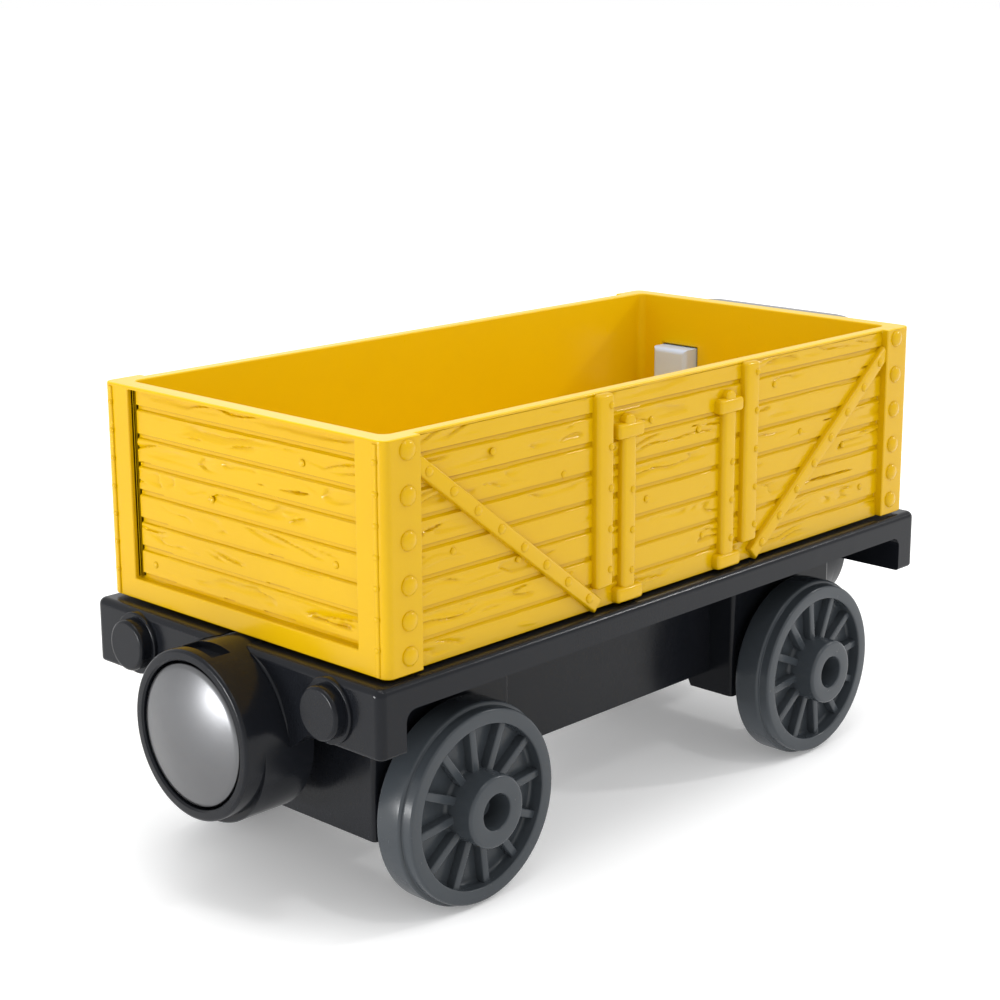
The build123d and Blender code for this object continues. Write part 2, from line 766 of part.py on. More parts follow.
# ---------------------------------------------------------------- lever slide
lever_inner_x = inner_end_x - lever_reach
arm_width = lever_y + lever_width / 2
with BuildPart() as lever_slide:
    with BuildSketch(Plane.YZ.offset(lever_inner_x)):
        lever_outline(0, 0)
    extrude(amount=panel_back_x - lever_inner_x)
    fillet(lever_slide.faces().sort_by(Axis.X)[0].edges(), lever_round)
    with BuildSketch(Plane.YZ.offset(panel_back_x)):
        with Locations((0, panel_top_z - panel_height / 2)):
            RectangleRounded(panel_width, panel_height, lever_round)
        with Locations((arm_width / 2, lever_top_z - lever_height / 2)):
            Rectangle(arm_width, lever_height)
    extrude(amount=panel_thickness)
    with BuildSketch(Plane.YZ.offset(panel_back_x + panel_thickness)):
        with Locations((0, panel_top_z - (panel_height - lever_travel) / 2)):
            RectangleRounded(panel_width - 2 * panel_rib_inset, panel_rib_height, lever_round)
    extrude(amount=panel_rib_proud)
write(lever_slide.part, "lever_slide")
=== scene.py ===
import math

import bmesh
import bpy
from mathutils import Matrix, Vector


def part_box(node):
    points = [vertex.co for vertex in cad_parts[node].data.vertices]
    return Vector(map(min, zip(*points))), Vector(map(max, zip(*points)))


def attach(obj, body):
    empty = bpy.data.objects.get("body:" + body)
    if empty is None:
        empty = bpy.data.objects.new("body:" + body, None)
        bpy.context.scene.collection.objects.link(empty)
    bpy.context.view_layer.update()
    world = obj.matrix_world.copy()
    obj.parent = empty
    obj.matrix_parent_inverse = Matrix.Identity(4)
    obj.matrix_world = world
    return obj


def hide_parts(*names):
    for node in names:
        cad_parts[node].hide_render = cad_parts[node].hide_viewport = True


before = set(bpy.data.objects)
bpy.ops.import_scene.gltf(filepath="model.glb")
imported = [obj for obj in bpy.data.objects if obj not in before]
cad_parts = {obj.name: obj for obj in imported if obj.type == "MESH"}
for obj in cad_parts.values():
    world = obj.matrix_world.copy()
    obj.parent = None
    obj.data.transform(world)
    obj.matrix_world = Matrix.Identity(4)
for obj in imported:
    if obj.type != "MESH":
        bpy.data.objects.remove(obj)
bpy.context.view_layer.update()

# Shapes are drawn in millimetres and turned to metres when a piece is finished.
MM = 0.001


def box_mm(node):
    """Lowest and highest corner of a CAD node, in millimetres."""
    low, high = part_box(node)
    return low / MM, high / MM


# ---------------------------------------------------------------- places taken from the frame
tub_high = box_mm("tub")[1]
chassis_high = box_mm("chassis")[1]
wheel_low, wheel_high = box_mm("wheel_rear_right")
barrel_low, barrel_high = box_mm("coupler_barrel_rear")
cap_low, cap_high = box_mm("magnet_cap_rear")
plate_low, plate_high = box_mm("end_plate")
lever_low, lever_high = box_mm("lever_slide")

# ---------------------------------------------------------------- tub sizes
rivet_proud = 0.4
post_proud = 0.65
tub_gap = 0.27
tub_wall = 1.1
tub_end_wall = 1.6
tub_floor = 1.6
tub_corner = 0.75
tub_round = 0.14
corner_bead_inset = 0.98
corner_bead_width = 0.42
corner_bead_proud = 0.15
corner_bead_round = 0.12
corner_bead_foot = 0.15
end_slot_width = 0.42
end_slot_depth = 1.25
post_width = 3.7
plank_backing = 0.3
plank_root = 0.4
top_plank = 1.6
plank_pitch = 2.35
rim_height = 0.3
recess_border = 3.2
recess_bottom = 1.78
recess_depth = 0.5
plank_step_along = 0.2
plank_step_up = 0.09
seam_width = 0.5
seam_depth = 0.22
stroke_depth = 0.2
split_depth = 0.3

deck_top = chassis_high.z
tub_top = tub_high.z
tub_bottom = deck_top + tub_gap
tub_end_x = tub_high.x
post_face_y = tub_high.y - rivet_proud
plank_face_y = post_face_y - post_proud
post_inner_x = tub_end_x - post_width
inner_x = tub_end_x - tub_end_wall
inner_y = plank_face_y - tub_wall
recess_half = post_face_y - recess_border
recess_low_z = tub_bottom + recess_bottom
recess_high_z = tub_top - rim_height

# How far a cutter reaches past what it cuts.
spare_cut = 1.0

# ---------------------------------------------------------------- side furniture sizes
stanchion_x = 9.65
stanchion_width = 2.0
stanchion_foot = 1.7
stanchion_proud = 0.6
stanchion_round = 0.36
strap_x = 6.62
strap_width = 1.75
strap_proud = 0.55
strap_top_drop = 2.9
strap_top = tub_top - strap_top_drop
strap_end_gap = 0.3
strap_round = 0.4
cap_width = 3.2
cap_height = 1.3
cap_proud = 0.75
cap_round = 0.34
cap_foot_gap = 0.02
stub_radius = 0.66
stub_proud = 0.62
stub_round = 0.25
brace_width = 1.3
brace_proud = 0.5
brace_top_drop = 2.3
brace_foot_rise = 0.6
brace_overrun = 0.35
brace_round = 0.2

# ---------------------------------------------------------------- rivet and nail sizes
post_rivet_radius = 0.78
post_rivet_height = 0.39
post_rivet_x = tub_end_x - post_width * 0.62
post_rivet_drops = (0.95, 4.35, 7.7, 11.1, 13.8, 16.5)
brace_rivet_radius = 0.4
brace_rivet_height = 0.2
brace_rivet_count = 8
brace_rivet_start = 0.35
brace_rivet_span = 7.7
edge_rivet_radius = 0.3
edge_rivet_height = 0.18
edge_rivet_rows = 5
edge_rivet_foot = 2.6
edge_rivet_pitch = 3.4
stanchion_rivet_shift = 0.55
stanchion_rivet_rise = 0.6
strap_rivet_shift = 0.3
corner_dot_radius = 0.27
corner_dot_height = 0.18
corner_dot_lowest = 1.0
nail_radius = 0.3
nail_height = 0.14

# Nail heads, as (y, z) on the end planks and (x, z) on the side planks.
end_nails = ((-7.24, 36.76), (3.67, 32.02), (-10.77, 29.58), (11.33, 25.21))
side_nails = (
    (-22.1, 37.1),
    (-14.1, 33.9),
    (-26.4, 30.2),
    (-19.3, 28.1),
    (-13.2, 25.5),
    (-3.4, 36.6),
    (2.9, 34.8),
    (-3.9, 30.0),
    (3.6, 25.4),
    (13.5, 37.1),
    (17.6, 32.2),
    (24.3, 29.9),
    (27.4, 25.3),
)

# ---------------------------------------------------------------- end plate and lever sizes
plate_wall = 1.1
plate_top_radius = 6.0
plate_foot_radius = 2.1
plate_bead = 0.3
plate_round = 1.8
plate_edge_round = 0.15
plate_top_drop = 0.25
plate_bead_width = 2.4
window_overlap = 1.3
window_height = 4.4
window_radius = 0.6
window_frame_width = 0.9
window_frame_drop = 0.05
lever_width = 4.3
lever_height = 5.0
lever_travel = 5.0
lever_top_drop = 5.0
slot_gap = 0.12

# ---------------------------------------------------------------- wheel sizes
wheel_radius = (wheel_high.z - wheel_low.z) / 2
wheel_back = 11.8
tread_width = 2.6
ring_width = 0.97
ring_step = 0.35
rim_width = 1.6
web_drop = 1.3
hub_radius = 3.0
hub_hole_radius = 1.48
hub_hole_depth = 2.4
thrust_boss_radius = 2.1
back_recess = 1.1
spoke_count = 12
spoke_width = 0.72
spoke_drop = 0.45
spoke_round = 0.14
spoke_root = 0.3
spoke_phase = math.radians(6.5)
axle_bore = 1.0

# ---------------------------------------------------------------- coupler sizes
ring_radius = (barrel_high.y - barrel_low.y) / 2
barrel_drop = 0.65
coupler_z = barrel_low.z + ring_radius + barrel_drop
ring_length = 1.85
ring_round = 0.3
buffer_length = 1.25
beam_thickness = 2.6
beam_face_x = chassis_high.x - buffer_length
barrel_back_x = beam_face_x - beam_thickness
barrel_back_wall = 1.8
barrel_floor_x = barrel_back_x + barrel_back_wall
barrel_bead = 0.2
ring_face_x = -barrel_low.x
barrel_bore = 5.95
bore_flare = 0.5
neck_radius = 3.6
neck_end_x = -barrel_high.x
notch_half = 2.0
notch_depth = 0.7
notch_length = 1.8
notch_setback = 0.9
cap_radius = (cap_high.y - cap_low.y) / 2
cap_dome = 0.85
cap_wall = 0.4


# ---------------------------------------------------------------- node graphs
class Signal:
    """An output socket that takes part in arithmetic. Each operator adds a Math node."""

    def __init__(self, graph, socket):
        self.graph = graph
        self.socket = socket

    def math(self, operation, *others):
        """A Math node whose first operand is this signal."""
        sockets = dict(enumerate((self, *others)))
        return self.graph.node("ShaderNodeMath", sockets, operation=operation)

    def reflected(self, operation, other):
        """A Math node whose second operand is this signal."""
        return self.graph.node("ShaderNodeMath", {0: other, 1: self}, operation=operation)

    def sibling(self, name):
        """Another output of the same node."""
        return Signal(self.graph, self.socket.node.outputs[name])

    def __add__(self, other):
        return self.math("ADD", other)

    def __radd__(self, other):
        return self.reflected("ADD", other)

    def __sub__(self, other):
        return self.math("SUBTRACT", other)

    def __rsub__(self, other):
        return self.reflected("SUBTRACT", other)

    def __mul__(self, other):
        return self.math("MULTIPLY", other)

    def __rmul__(self, other):
        return self.reflected("MULTIPLY", other)

    def __truediv__(self, other):
        return self.math("DIVIDE", other)

    def step(self, start, end):
        """A smooth step from nought at start to one at end."""
        sockets = {"Value": self, "From Min": start, "From Max": end}
        if start > end:
            sockets = {"Value": self, "From Min": end, "From Max": start}
            sockets.update({"To Min": 1.0, "To Max": 0.0})
        return self.graph.node("ShaderNodeMapRange", sockets, interpolation_type="SMOOTHSTEP")


class Graph:
    """Adds nodes to one tree."""

    def __init__(self, tree):
        self.tree = tree

    def node(self, kind, sockets=None, output=0, **settings):
        """Adds a node: its settings first, then the values or links of its sockets."""
        made = self.tree.nodes.new(kind)
        for name, value in settings.items():
            setattr(made, name, value)
        for key, value in (sockets or {}).items():
            if isinstance(value, Signal):
                self.tree.links.new(value.socket, made.inputs[key])
            else:
                made.inputs[key].default_value = value
        return Signal(self, made.outputs[output]) if made.outputs else None

    def scaled(self, vector, factors, shift=(0.0, 0.0, 0.0)):
        """A vector with each axis multiplied, then shifted."""
        stretched = self.node("ShaderNodeVectorMath", {0: vector, 1: factors}, operation="MULTIPLY")
        return self.node("ShaderNodeVectorMath", {0: stretched, 1: shift}, operation="ADD")

    def noise(self, vector, scale, detail=2.0, roughness=0.5, distortion=0.0):
        sockets = {"Vector": vector, "Scale": scale, "Detail": detail}
        sockets.update({"Roughness": roughness, "Distortion": distortion})
        return self.node("ShaderNodeTexNoise", sockets)

    def blend(self, factor, first, second):
        """A mix of two colours."""
        sockets = {0: factor, 6: first, 7: second}
        return self.node("ShaderNodeMix", sockets, output=2, data_type="RGBA")

    def bump(self, height, distance, strength=1.0, normal=None):
        sockets = {"Height": height, "Distance": distance, "Strength": strength}
        if normal is not None:
            sockets["Normal"] = normal
        return self.node("ShaderNodeBump", sockets)


# ---------------------------------------------------------------- materials
def colour(red, green, blue):
    return (red, green, blue, 1.0)


def start_material(name):
    """A new empty material. Returns it, its graph and its Object coordinates in millimetres."""
    material = bpy.data.materials.new(name)
    material.use_nodes = True
    material.node_tree.nodes.clear()
    graph = Graph(material.node_tree)
    place = graph.node("ShaderNodeTexCoord", output="Object")
    in_mm = graph.scaled(place, (1 / MM, 1 / MM, 1 / MM))
    return material, graph, in_mm


def close_material(graph, **sockets):
    names = {name.replace("_", " "): value for name, value in sockets.items()}
    shader = graph.node("ShaderNodeBsdfPrincipled", names)
    graph.node("ShaderNodeOutputMaterial", {"Surface": shader})


def moulded_plastic(name, base, deep, roughness, reflectance, speck_depth=0.005, carved=False):
    """Moulded plastic: a slow drift of colour, a fine moulded skin and uneven gloss; carved wood also
    gets painted shade in its hollows.
    """
    material, graph, place = start_material(name)
    drift = graph.noise(place, 0.11, detail=3.0)
    cloud = graph.noise(place, 0.7, detail=4.0, roughness=0.6)
    skin = graph.noise(place, 7.0, detail=2.0)
    ripple = graph.noise(place, 0.35, detail=1.0)
    tint = drift.step(0.3, 0.75) * 0.35 + cloud.step(0.35, 0.8) * 0.18
    base_colour = graph.blend(tint, base, deep)
    normal = graph.bump(skin, speck_depth * MM)
    normal = graph.bump(ripple, 0.015 * MM, normal=normal)
    gloss = roughness + (cloud - 0.5) * 0.1 + (skin - 0.5) * 0.05
    if carved:
        # Painted shade: where the plank field marks its hollows, the colour darkens towards brown and the
        # surface gets rougher.
        painted_hollow_shade = graph.node("ShaderNodeAttribute", output="Fac", attribute_name="painted_hollow_shade")
        fibre = graph.noise(graph.scaled(place, (0.22, 0.22, 2.4)), 1.3, detail=3.0)
        base_colour = graph.blend(painted_hollow_shade, base_colour, colour(0.32, 0.15, 0.001))
        normal = graph.bump(fibre, 0.02 * MM, normal=normal)
        gloss = gloss + painted_hollow_shade * 0.15
    close_material(
        graph,
        Base_Color=base_colour,
        Roughness=gloss,
        Normal=normal,
        Specular_IOR_Level=reflectance,
    )
    return material


def satin_metal(name, base, dull, roughness, turned=0.0):
    """Pressed or turned steel with a satin face."""
    material, graph, place = start_material(name)
    cloud = graph.noise(place, 0.5, detail=4.0, roughness=0.6)
    grit = graph.noise(place, 9.0, detail=3.0, roughness=0.7)
    parts = graph.node("ShaderNodeSeparateXYZ", {"Vector": place})
    across = parts.sibling("Y")
    up = parts.sibling("Z") - coupler_z
    radius = (across * across + up * up).math("SQRT")
    rings = graph.node("ShaderNodeTexNoise", {"W": radius * 11.0, "Detail": 2.0}, noise_dimensions="1D")
    normal = graph.bump(grit, 0.002 * MM)
    normal = graph.bump(rings, turned * MM, normal=normal)
    close_material(
        graph,
        Base_Color=graph.blend(cloud.step(0.35, 0.8) * 0.4, base, dull),
        Metallic=1.0,
        Roughness=roughness + (cloud - 0.5) * 0.1 + (grit - 0.5) * 0.06,
        Normal=normal,
    )
    return material


yellow_base = colour(0.59, 0.352, 0.0005)
yellow_deep = colour(0.56, 0.322, 0.0004)
yellow = moulded_plastic("yellow_moulding", yellow_base, yellow_deep, 0.2, 0.21)
yellow_wood = moulded_plastic("yellow_wood_moulding", yellow_base, yellow_deep, 0.18, 0.22, carved=True)
# Painted light: a lighter copy of the yellow for the inside of the tub and the top of the rim.
painted_light_inner_base = colour(0.765, 0.49, 0.0003)
painted_light_inner_deep = colour(0.73, 0.455, 0.0002)
painted_light_yellow = moulded_plastic("yellow_painted_light_moulding", painted_light_inner_base, painted_light_inner_deep, 0.3, 0.25)
black_base = colour(0.0082, 0.0092, 0.0118)
black_deep = colour(0.0056, 0.0063, 0.0082)
black = moulded_plastic("black_moulding", black_base, black_deep, 0.2, 0.16)
wheel_base = colour(0.042, 0.049, 0.056)
wheel_deep = colour(0.036, 0.042, 0.049)
wheel_grey = moulded_plastic("wheel_moulding", wheel_base, wheel_deep, 0.25, 0.28)
plate_base = colour(0.2, 0.2, 0.205)
plate_deep = colour(0.17, 0.17, 0.175)
plate_grey = moulded_plastic("plate_moulding", plate_base, plate_deep, 0.4, 0.4)
lever_base = colour(0.56, 0.66, 0.84)
lever_deep = colour(0.52, 0.61, 0.78)
lever_grey = moulded_plastic("lever_moulding", lever_base, lever_deep, 0.33, 0.4)
cap_bright = colour(0.135, 0.137, 0.142)
cap_dull = colour(0.115, 0.117, 0.122)
cap_steel = satin_metal("cap_steel", cap_bright, cap_dull, 0.31, turned=0.0004)
screw_steel = satin_metal("screw_steel", colour(0.42, 0.42, 0.43), colour(0.33, 0.33, 0.34), 0.36)
magnet_nickel = satin_metal("magnet_nickel", colour(0.5, 0.5, 0.49), colour(0.4, 0.4, 0.39), 0.2)


# ---------------------------------------------------------------- geometry helpers
def new_object(name, bm):
    """A scene object from a bmesh, which is freed."""
    mesh = bpy.data.meshes.new(name)
    bm.to_mesh(mesh)
    bm.free()
    made = bpy.data.objects.new(name, mesh)
    bpy.context.scene.collection.objects.link(made)
    return made


def settle(made):
    """Turns what an object's modifiers make into its own plain mesh."""
    depsgraph = bpy.context.evaluated_depsgraph_get()
    mesh = bpy.data.meshes.new_from_object(
        made.evaluated_get(depsgraph), preserve_all_data_layers=True, depsgraph=depsgraph
    )
    made.modifiers.clear()
    made.data = mesh
    return made


def cut(made, cutter, operation="DIFFERENCE"):
    """Takes a cutter's shape away from an object, or joins it on."""
    modifier = made.modifiers.new("cut", "BOOLEAN")
    modifier.operation = operation
    modifier.solver = "EXACT"
    modifier.object = cutter
    settle(made)
    bpy.data.objects.remove(cutter)
    return made


def soften(made, width, segments=3, angle=35.0):
    """Rounds the sharp edges and keeps the flat faces flat."""
    bevel = made.modifiers.new("edge", "BEVEL")
    bevel.width = width
    bevel.segments = segments
    bevel.limit_method = "ANGLE"
    bevel.angle_limit = math.radians(angle)
    bevel.use_clamp_overlap = False
    weighted = made.modifiers.new("flat faces", "WEIGHTED_NORMAL")
    weighted.keep_sharp = True
    made.data.shade_smooth()
    return settle(made)


def smooth(made, angle):
    """Shades an object smooth, with sharp edges where faces turn by more than an angle."""
    made.data.shade_smooth()
    made.data.set_sharp_from_angle(angle=math.radians(angle))
    return made


def finish(made, material, body="frame", stands_for=()):
    """Puts a finished piece in metres, gives it its material and its body."""
    made.data.transform(Matrix.Scale(MM, 4))
    made.data.materials.clear()
    made.data.materials.append(material)
    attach(made, body)
    if stands_for:
        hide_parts(*stands_for)
    return made


def rounded(corners, steps=6):
    """A closed outline from (a, b, radius) corners, each rounded to its radius."""
    outline = []
    count = len(corners)
    for index, (a, b, radius) in enumerate(corners):
        corner = Vector((a, b))
        if radius <= 0:
            outline.append(corner)
            continue
        before = (Vector(corners[index - 1][:2]) - corner).normalized()
        after = (Vector(corners[(index + 1) % count][:2]) - corner).normalized()
        half = before.angle(after) / 2
        middle = corner + (before + after).normalized() * radius / math.sin(half)
        start = corner + before * radius / math.tan(half) - middle
        end = corner + after * radius / math.tan(half) - middle
        turn = start.angle_signed(end)
        for step in range(steps + 1):
            outline.append(middle + Matrix.Rotation(-turn * step / steps, 2) @ start)
    return outline


def upright(a, b, height):
    """Keeps (a, b, height) as (x, y, z), so that prism lays an outline flat and extrudes it upwards."""
    return (a, b, height)


def prism(bm, outline, low, high, to_space):
    """Extrudes an outline from low to high. to_space turns (a, b, height) into a place."""
    bottom = [bm.verts.new(to_space(p[0], p[1], low)) for p in outline]
    top = [bm.verts.new(to_space(p[0], p[1], high)) for p in outline]
    faces = [bm.faces.new(bottom), bm.faces.new(top)]
    for index in range(len(outline)):
        previous = index - 1
        faces.append(bm.faces.new((bottom[previous], bottom[index], top[index], top[previous])))
    bmesh.ops.recalc_face_normals(bm, faces=faces)
    return faces


def block(bm, low, high):
    """A box between two corners."""
    outline = ((low[0], low[1]), (high[0], low[1]), (high[0], high[1]), (low[0], high[1]))
    return prism(bm, outline, low[2], high[2], upright)


def lathe(bm, outline, to_space, segments=96):
    """Turns a closed (along, radius) outline. to_space turns (along, radius, angle) into a place."""
    rings = []
    for along, radius in outline:
        if radius < 1e-6:
            rings.append([bm.verts.new(to_space(along, 0.0, 0.0))])
            continue
        angles = [2 * math.pi * step / segments for step in range(segments)]
        rings.append([bm.verts.new(to_space(along, radius, angle)) for angle in angles])
    faces = []
    for index, ring in enumerate(rings):
        other = rings[index - 1]
        if len(ring) == 1 and len(other) == 1:
            continue
        for step in range(segments):
            following = (step + 1) % segments
            if len(ring) == 1:
                corners = (other[step], ring[0], other[following])
            elif len(other) == 1:
                corners = (ring[step], other[0], ring[following])
            else:
                corners = (other[step], ring[step], ring[following], other[following])
            faces.append(bm.faces.new(corners))
    bmesh.ops.recalc_face_normals(bm, faces=faces)
    return faces


def about_x(x_sign, middle_z, middle_y=0.0):
    """Places a lathe's shape about a line along X."""
    def to_space(along, radius, angle):
        return (x_sign * along, middle_y + radius * math.sin(angle), middle_z + radius * math.cos(angle))
    return to_space


def about_y(y_sign, middle_x, middle_z):
    """Places a lathe's shape about a line along Y."""
    def to_space(along, radius, angle):
        return (middle_x + radius * math.sin(angle), y_sign * along, middle_z + radius * math.cos(angle))
    return to_space


# ---------------------------------------------------------------- Geometry Nodes helpers
def geometry_tree(name, inputs):
    """A Geometry Nodes tree with named inputs. Returns its graph and a signal for each input."""
    tree = bpy.data.node_groups.new(name, "GeometryNodeTree")
    tree.interface.new_socket("Geometry", in_out="INPUT", socket_type="NodeSocketGeometry")
    for label, kind in inputs.items():
        tree.interface.new_socket(label, in_out="INPUT", socket_type=f"NodeSocket{kind}")
    tree.interface.new_socket("Geometry", in_out="OUTPUT", socket_type="NodeSocketGeometry")
    graph = Graph(tree)
    start = graph.node("NodeGroupInput")
    return graph, {label: start.sibling(label) for label in ("Geometry", *inputs)}


def close_tree(graph, geometry, material):
    """Makes instances real, sets the material and ends the tree."""
    real = graph.node("GeometryNodeRealizeInstances", {"Geometry": geometry})
    shaded = graph.node("GeometryNodeSetShadeSmooth", {"Geometry": real})
    painted = graph.node("GeometryNodeSetMaterial", {"Geometry": shaded, "Material": material})
    end = graph.tree.nodes.new("NodeGroupOutput")
    graph.tree.links.new(painted.socket, end.inputs["Geometry"])
    return graph.tree


def grow(made, tree, values):
    """Runs a tree on an object with its inputs set, and keeps the result as a plain mesh."""
    modifier = made.modifiers.new("growth", "NODES")
    modifier.node_group = tree
    for item in tree.interface.items_tree:
        if item.in_out == "INPUT" and item.name in values:
            modifier[item.identifier] = values[item.name]
    return settle(made)


def plank_tree():
    """A field of moulded planks on a flat grid: stepped seams, carved strokes and splits, with painted
    shade for their hollows stored as an attribute.
    """
    graph, given = geometry_tree(
        "plank field",
        {
            "Length": "Float",
            "Height": "Float",
            "Step Along": "Float",
            "Step Up": "Float",
            "Top Plank": "Float",
            "Plank Pitch": "Float",
            "Seam Width": "Float",
            "Seam Depth": "Float",
            "Stroke Depth": "Float",
            "Split Depth": "Float",
            "Seed": "Float",
            "Material": "Material",
        },
    )
    length = given["Length"]
    height = given["Height"]
    sockets = {
        "Size X": length,
        "Size Y": height,
        "Vertices X": (length / given["Step Along"]).math("ROUND"),
        "Vertices Y": (height / given["Step Up"]).math("ROUND"),
    }
    grid = graph.node("GeometryNodeMeshGrid", sockets, output="Mesh")
    place = graph.node("GeometryNodeInputPosition")
    parts = graph.node("ShaderNodeSeparateXYZ", {"Vector": place})
    along = parts.sibling("X")
    up = parts.sibling("Y")
    pitch = given["Plank Pitch"]
    width = given["Seam Width"]

    # Each seam is a sharp step under the upper plank, a narrow floor and a slope out to the lower one.
    wander = graph.noise(graph.scaled(place, (0.13, 0.0, 0.0), (3.1, 0.0, 0.0)), 1.0, detail=1.0) - 0.5
    from_top = height * 0.5 - up - given["Top Plank"] + wander * 0.14
    row = (from_top / pitch).math("FLOOR")
    below_seam = from_top - row * pitch
    seam = (below_seam / width).step(1.0, 0.68)
    shadow_line = (below_seam / width).step(0.3, 0.12)
    to_seam = from_top.math("PINGPONG", pitch * 0.5)
    plain = (to_seam / width).step(1.0, 1.7)

    # Every plank has its own figure, warped a little along its length.
    row_shift = row * 5.3 + given["Seed"]
    board = graph.node("ShaderNodeCombineXYZ", {"X": along, "Y": up, "Z": row_shift})
    warp = graph.noise(graph.scaled(board, (0.13, 0.3, 1.0)), 1.0, detail=1.0) - 0.5
    bent = graph.node("ShaderNodeCombineXYZ", {"X": along, "Y": up + warp * 2.2, "Z": row_shift})
    figure = graph.noise(graph.scaled(bent, (0.075, 0.36, 1.0)), 1.0, detail=1.0)
    ring = (figure * 8.0).math("FRACT")
    patches = graph.noise(graph.scaled(board, (0.11, 0.42, 1.7), (9.0, 4.0, 0.0)), 1.0, detail=1.0)
    shown = patches.step(0.47, 0.55) * plain
    fall = 1.0 - ring
    stroke = fall * fall * shown * ring.step(0.0, 0.06)
    stroke_edge = ring.step(0.3, 0.04) * ring.step(0.0, 0.05) * shown
    slits = graph.noise(graph.scaled(bent, (0.16, 1.25, 1.0), (2.0, 8.0, 5.0)), 1.0, detail=1.0)
    split = slits.step(0.72, 0.76) * plain
    ridge = slits.step(0.29, 0.25) * plain
    tilt = graph.node("ShaderNodeTexWhiteNoise", {"W": row_shift}, noise_dimensions="1D")
    relief = (
        ridge * 0.07
        - seam * given["Seam Depth"]
        - stroke * given["Stroke Depth"]
        - split * given["Split Depth"]
        - tilt.sibling("Value") * 0.05
    )
    # Painted shade: the shadow line under each seam, the splits and the stroke edges are stored for the
    # material to darken.
    painted_hollow_shade = (shadow_line * 0.55).math("MAXIMUM", split * 0.45)
    painted_hollow_shade = painted_hollow_shade.math("MAXIMUM", stroke_edge * 0.12)
    stored = graph.node(
        "GeometryNodeStoreNamedAttribute",
        {"Geometry": grid, "Name": "painted_hollow_shade", "Value": painted_hollow_shade},
        data_type="FLOAT",
        domain="POINT",
    )
    shift = graph.node("ShaderNodeCombineXYZ", {"Z": relief})
    carved = graph.node("GeometryNodeSetPosition", {"Geometry": stored, "Offset": shift})
    return close_tree(graph, carved, given["Material"])


def rivet_tree():
    """A domed head on each point of a mesh, turned to face the point's own direction."""
    graph, given = geometry_tree(
        "rivet heads",
        {"Head Radius": "Float", "Head Height": "Float", "Segments": "Int", "Material": "Material"},
    )
    ball = graph.node(
        "GeometryNodeMeshUVSphere",
        {"Segments": given["Segments"], "Rings": 10, "Radius": 1.0},
        output="Mesh",
    )
    size = graph.node(
        "ShaderNodeCombineXYZ",
        {"X": given["Head Radius"], "Y": given["Head Radius"], "Z": given["Head Height"]},
    )
    head = graph.node("GeometryNodeTransform", {"Geometry": ball, "Scale": size})
    facing = graph.node("GeometryNodeInputNamedAttribute", {"Name": "facing"}, data_type="FLOAT_VECTOR")
    turn = graph.node("FunctionNodeAlignRotationToVector", {"Vector": facing}, axis="Z")
    sockets = {"Points": given["Geometry"], "Instance": head, "Rotation": turn}
    heads = graph.node("GeometryNodeInstanceOnPoints", sockets)
    return close_tree(graph, heads, given["Material"])


def spoke_tree():
    """Rounded ribs set round a hub, lying in the XY plane."""
    graph, given = geometry_tree(
        "wheel spokes",
        {
            "Count": "Int",
            "Inner Radius": "Float",
            "Outer Radius": "Float",
            "Width": "Float",
            "Height": "Float",
            "Edge Round": "Float",
            "Phase": "Float",
            "Material": "Material",
        },
    )
    start = graph.node("ShaderNodeCombineXYZ", {"X": given["Inner Radius"]})
    end = graph.node("ShaderNodeCombineXYZ", {"X": given["Outer Radius"]})
    line = graph.node("GeometryNodeCurvePrimitiveLine", {"Start": start, "End": end})
    sockets = {"Width": given["Width"], "Height": given["Height"] * 2.0}
    plain = graph.node("GeometryNodeCurvePrimitiveQuadrilateral", sockets)
    sockets = {"Curve": plain, "Radius": given["Edge Round"], "Count": 4}
    section = graph.node("GeometryNodeFilletCurve", sockets, mode="POLY")
    sockets = {"Curve": line, "Profile Curve": section, "Fill Caps": True}
    rib = graph.node("GeometryNodeCurveToMesh", sockets)
    centre = graph.node("GeometryNodePoints", {"Count": given["Count"]})
    index = graph.node("GeometryNodeInputIndex")
    angle = index / given["Count"] * (2 * math.pi) + given["Phase"]
    turn = graph.node("ShaderNodeCombineXYZ", {"Z": angle})
    sockets = {"Points": centre, "Instance": rib, "Rotation": turn}
    ribs = graph.node("GeometryNodeInstanceOnPoints", sockets)
    return close_tree(graph, ribs, given["Material"])


planks = plank_tree()
rivets = rivet_tree()
spokes = spoke_tree()


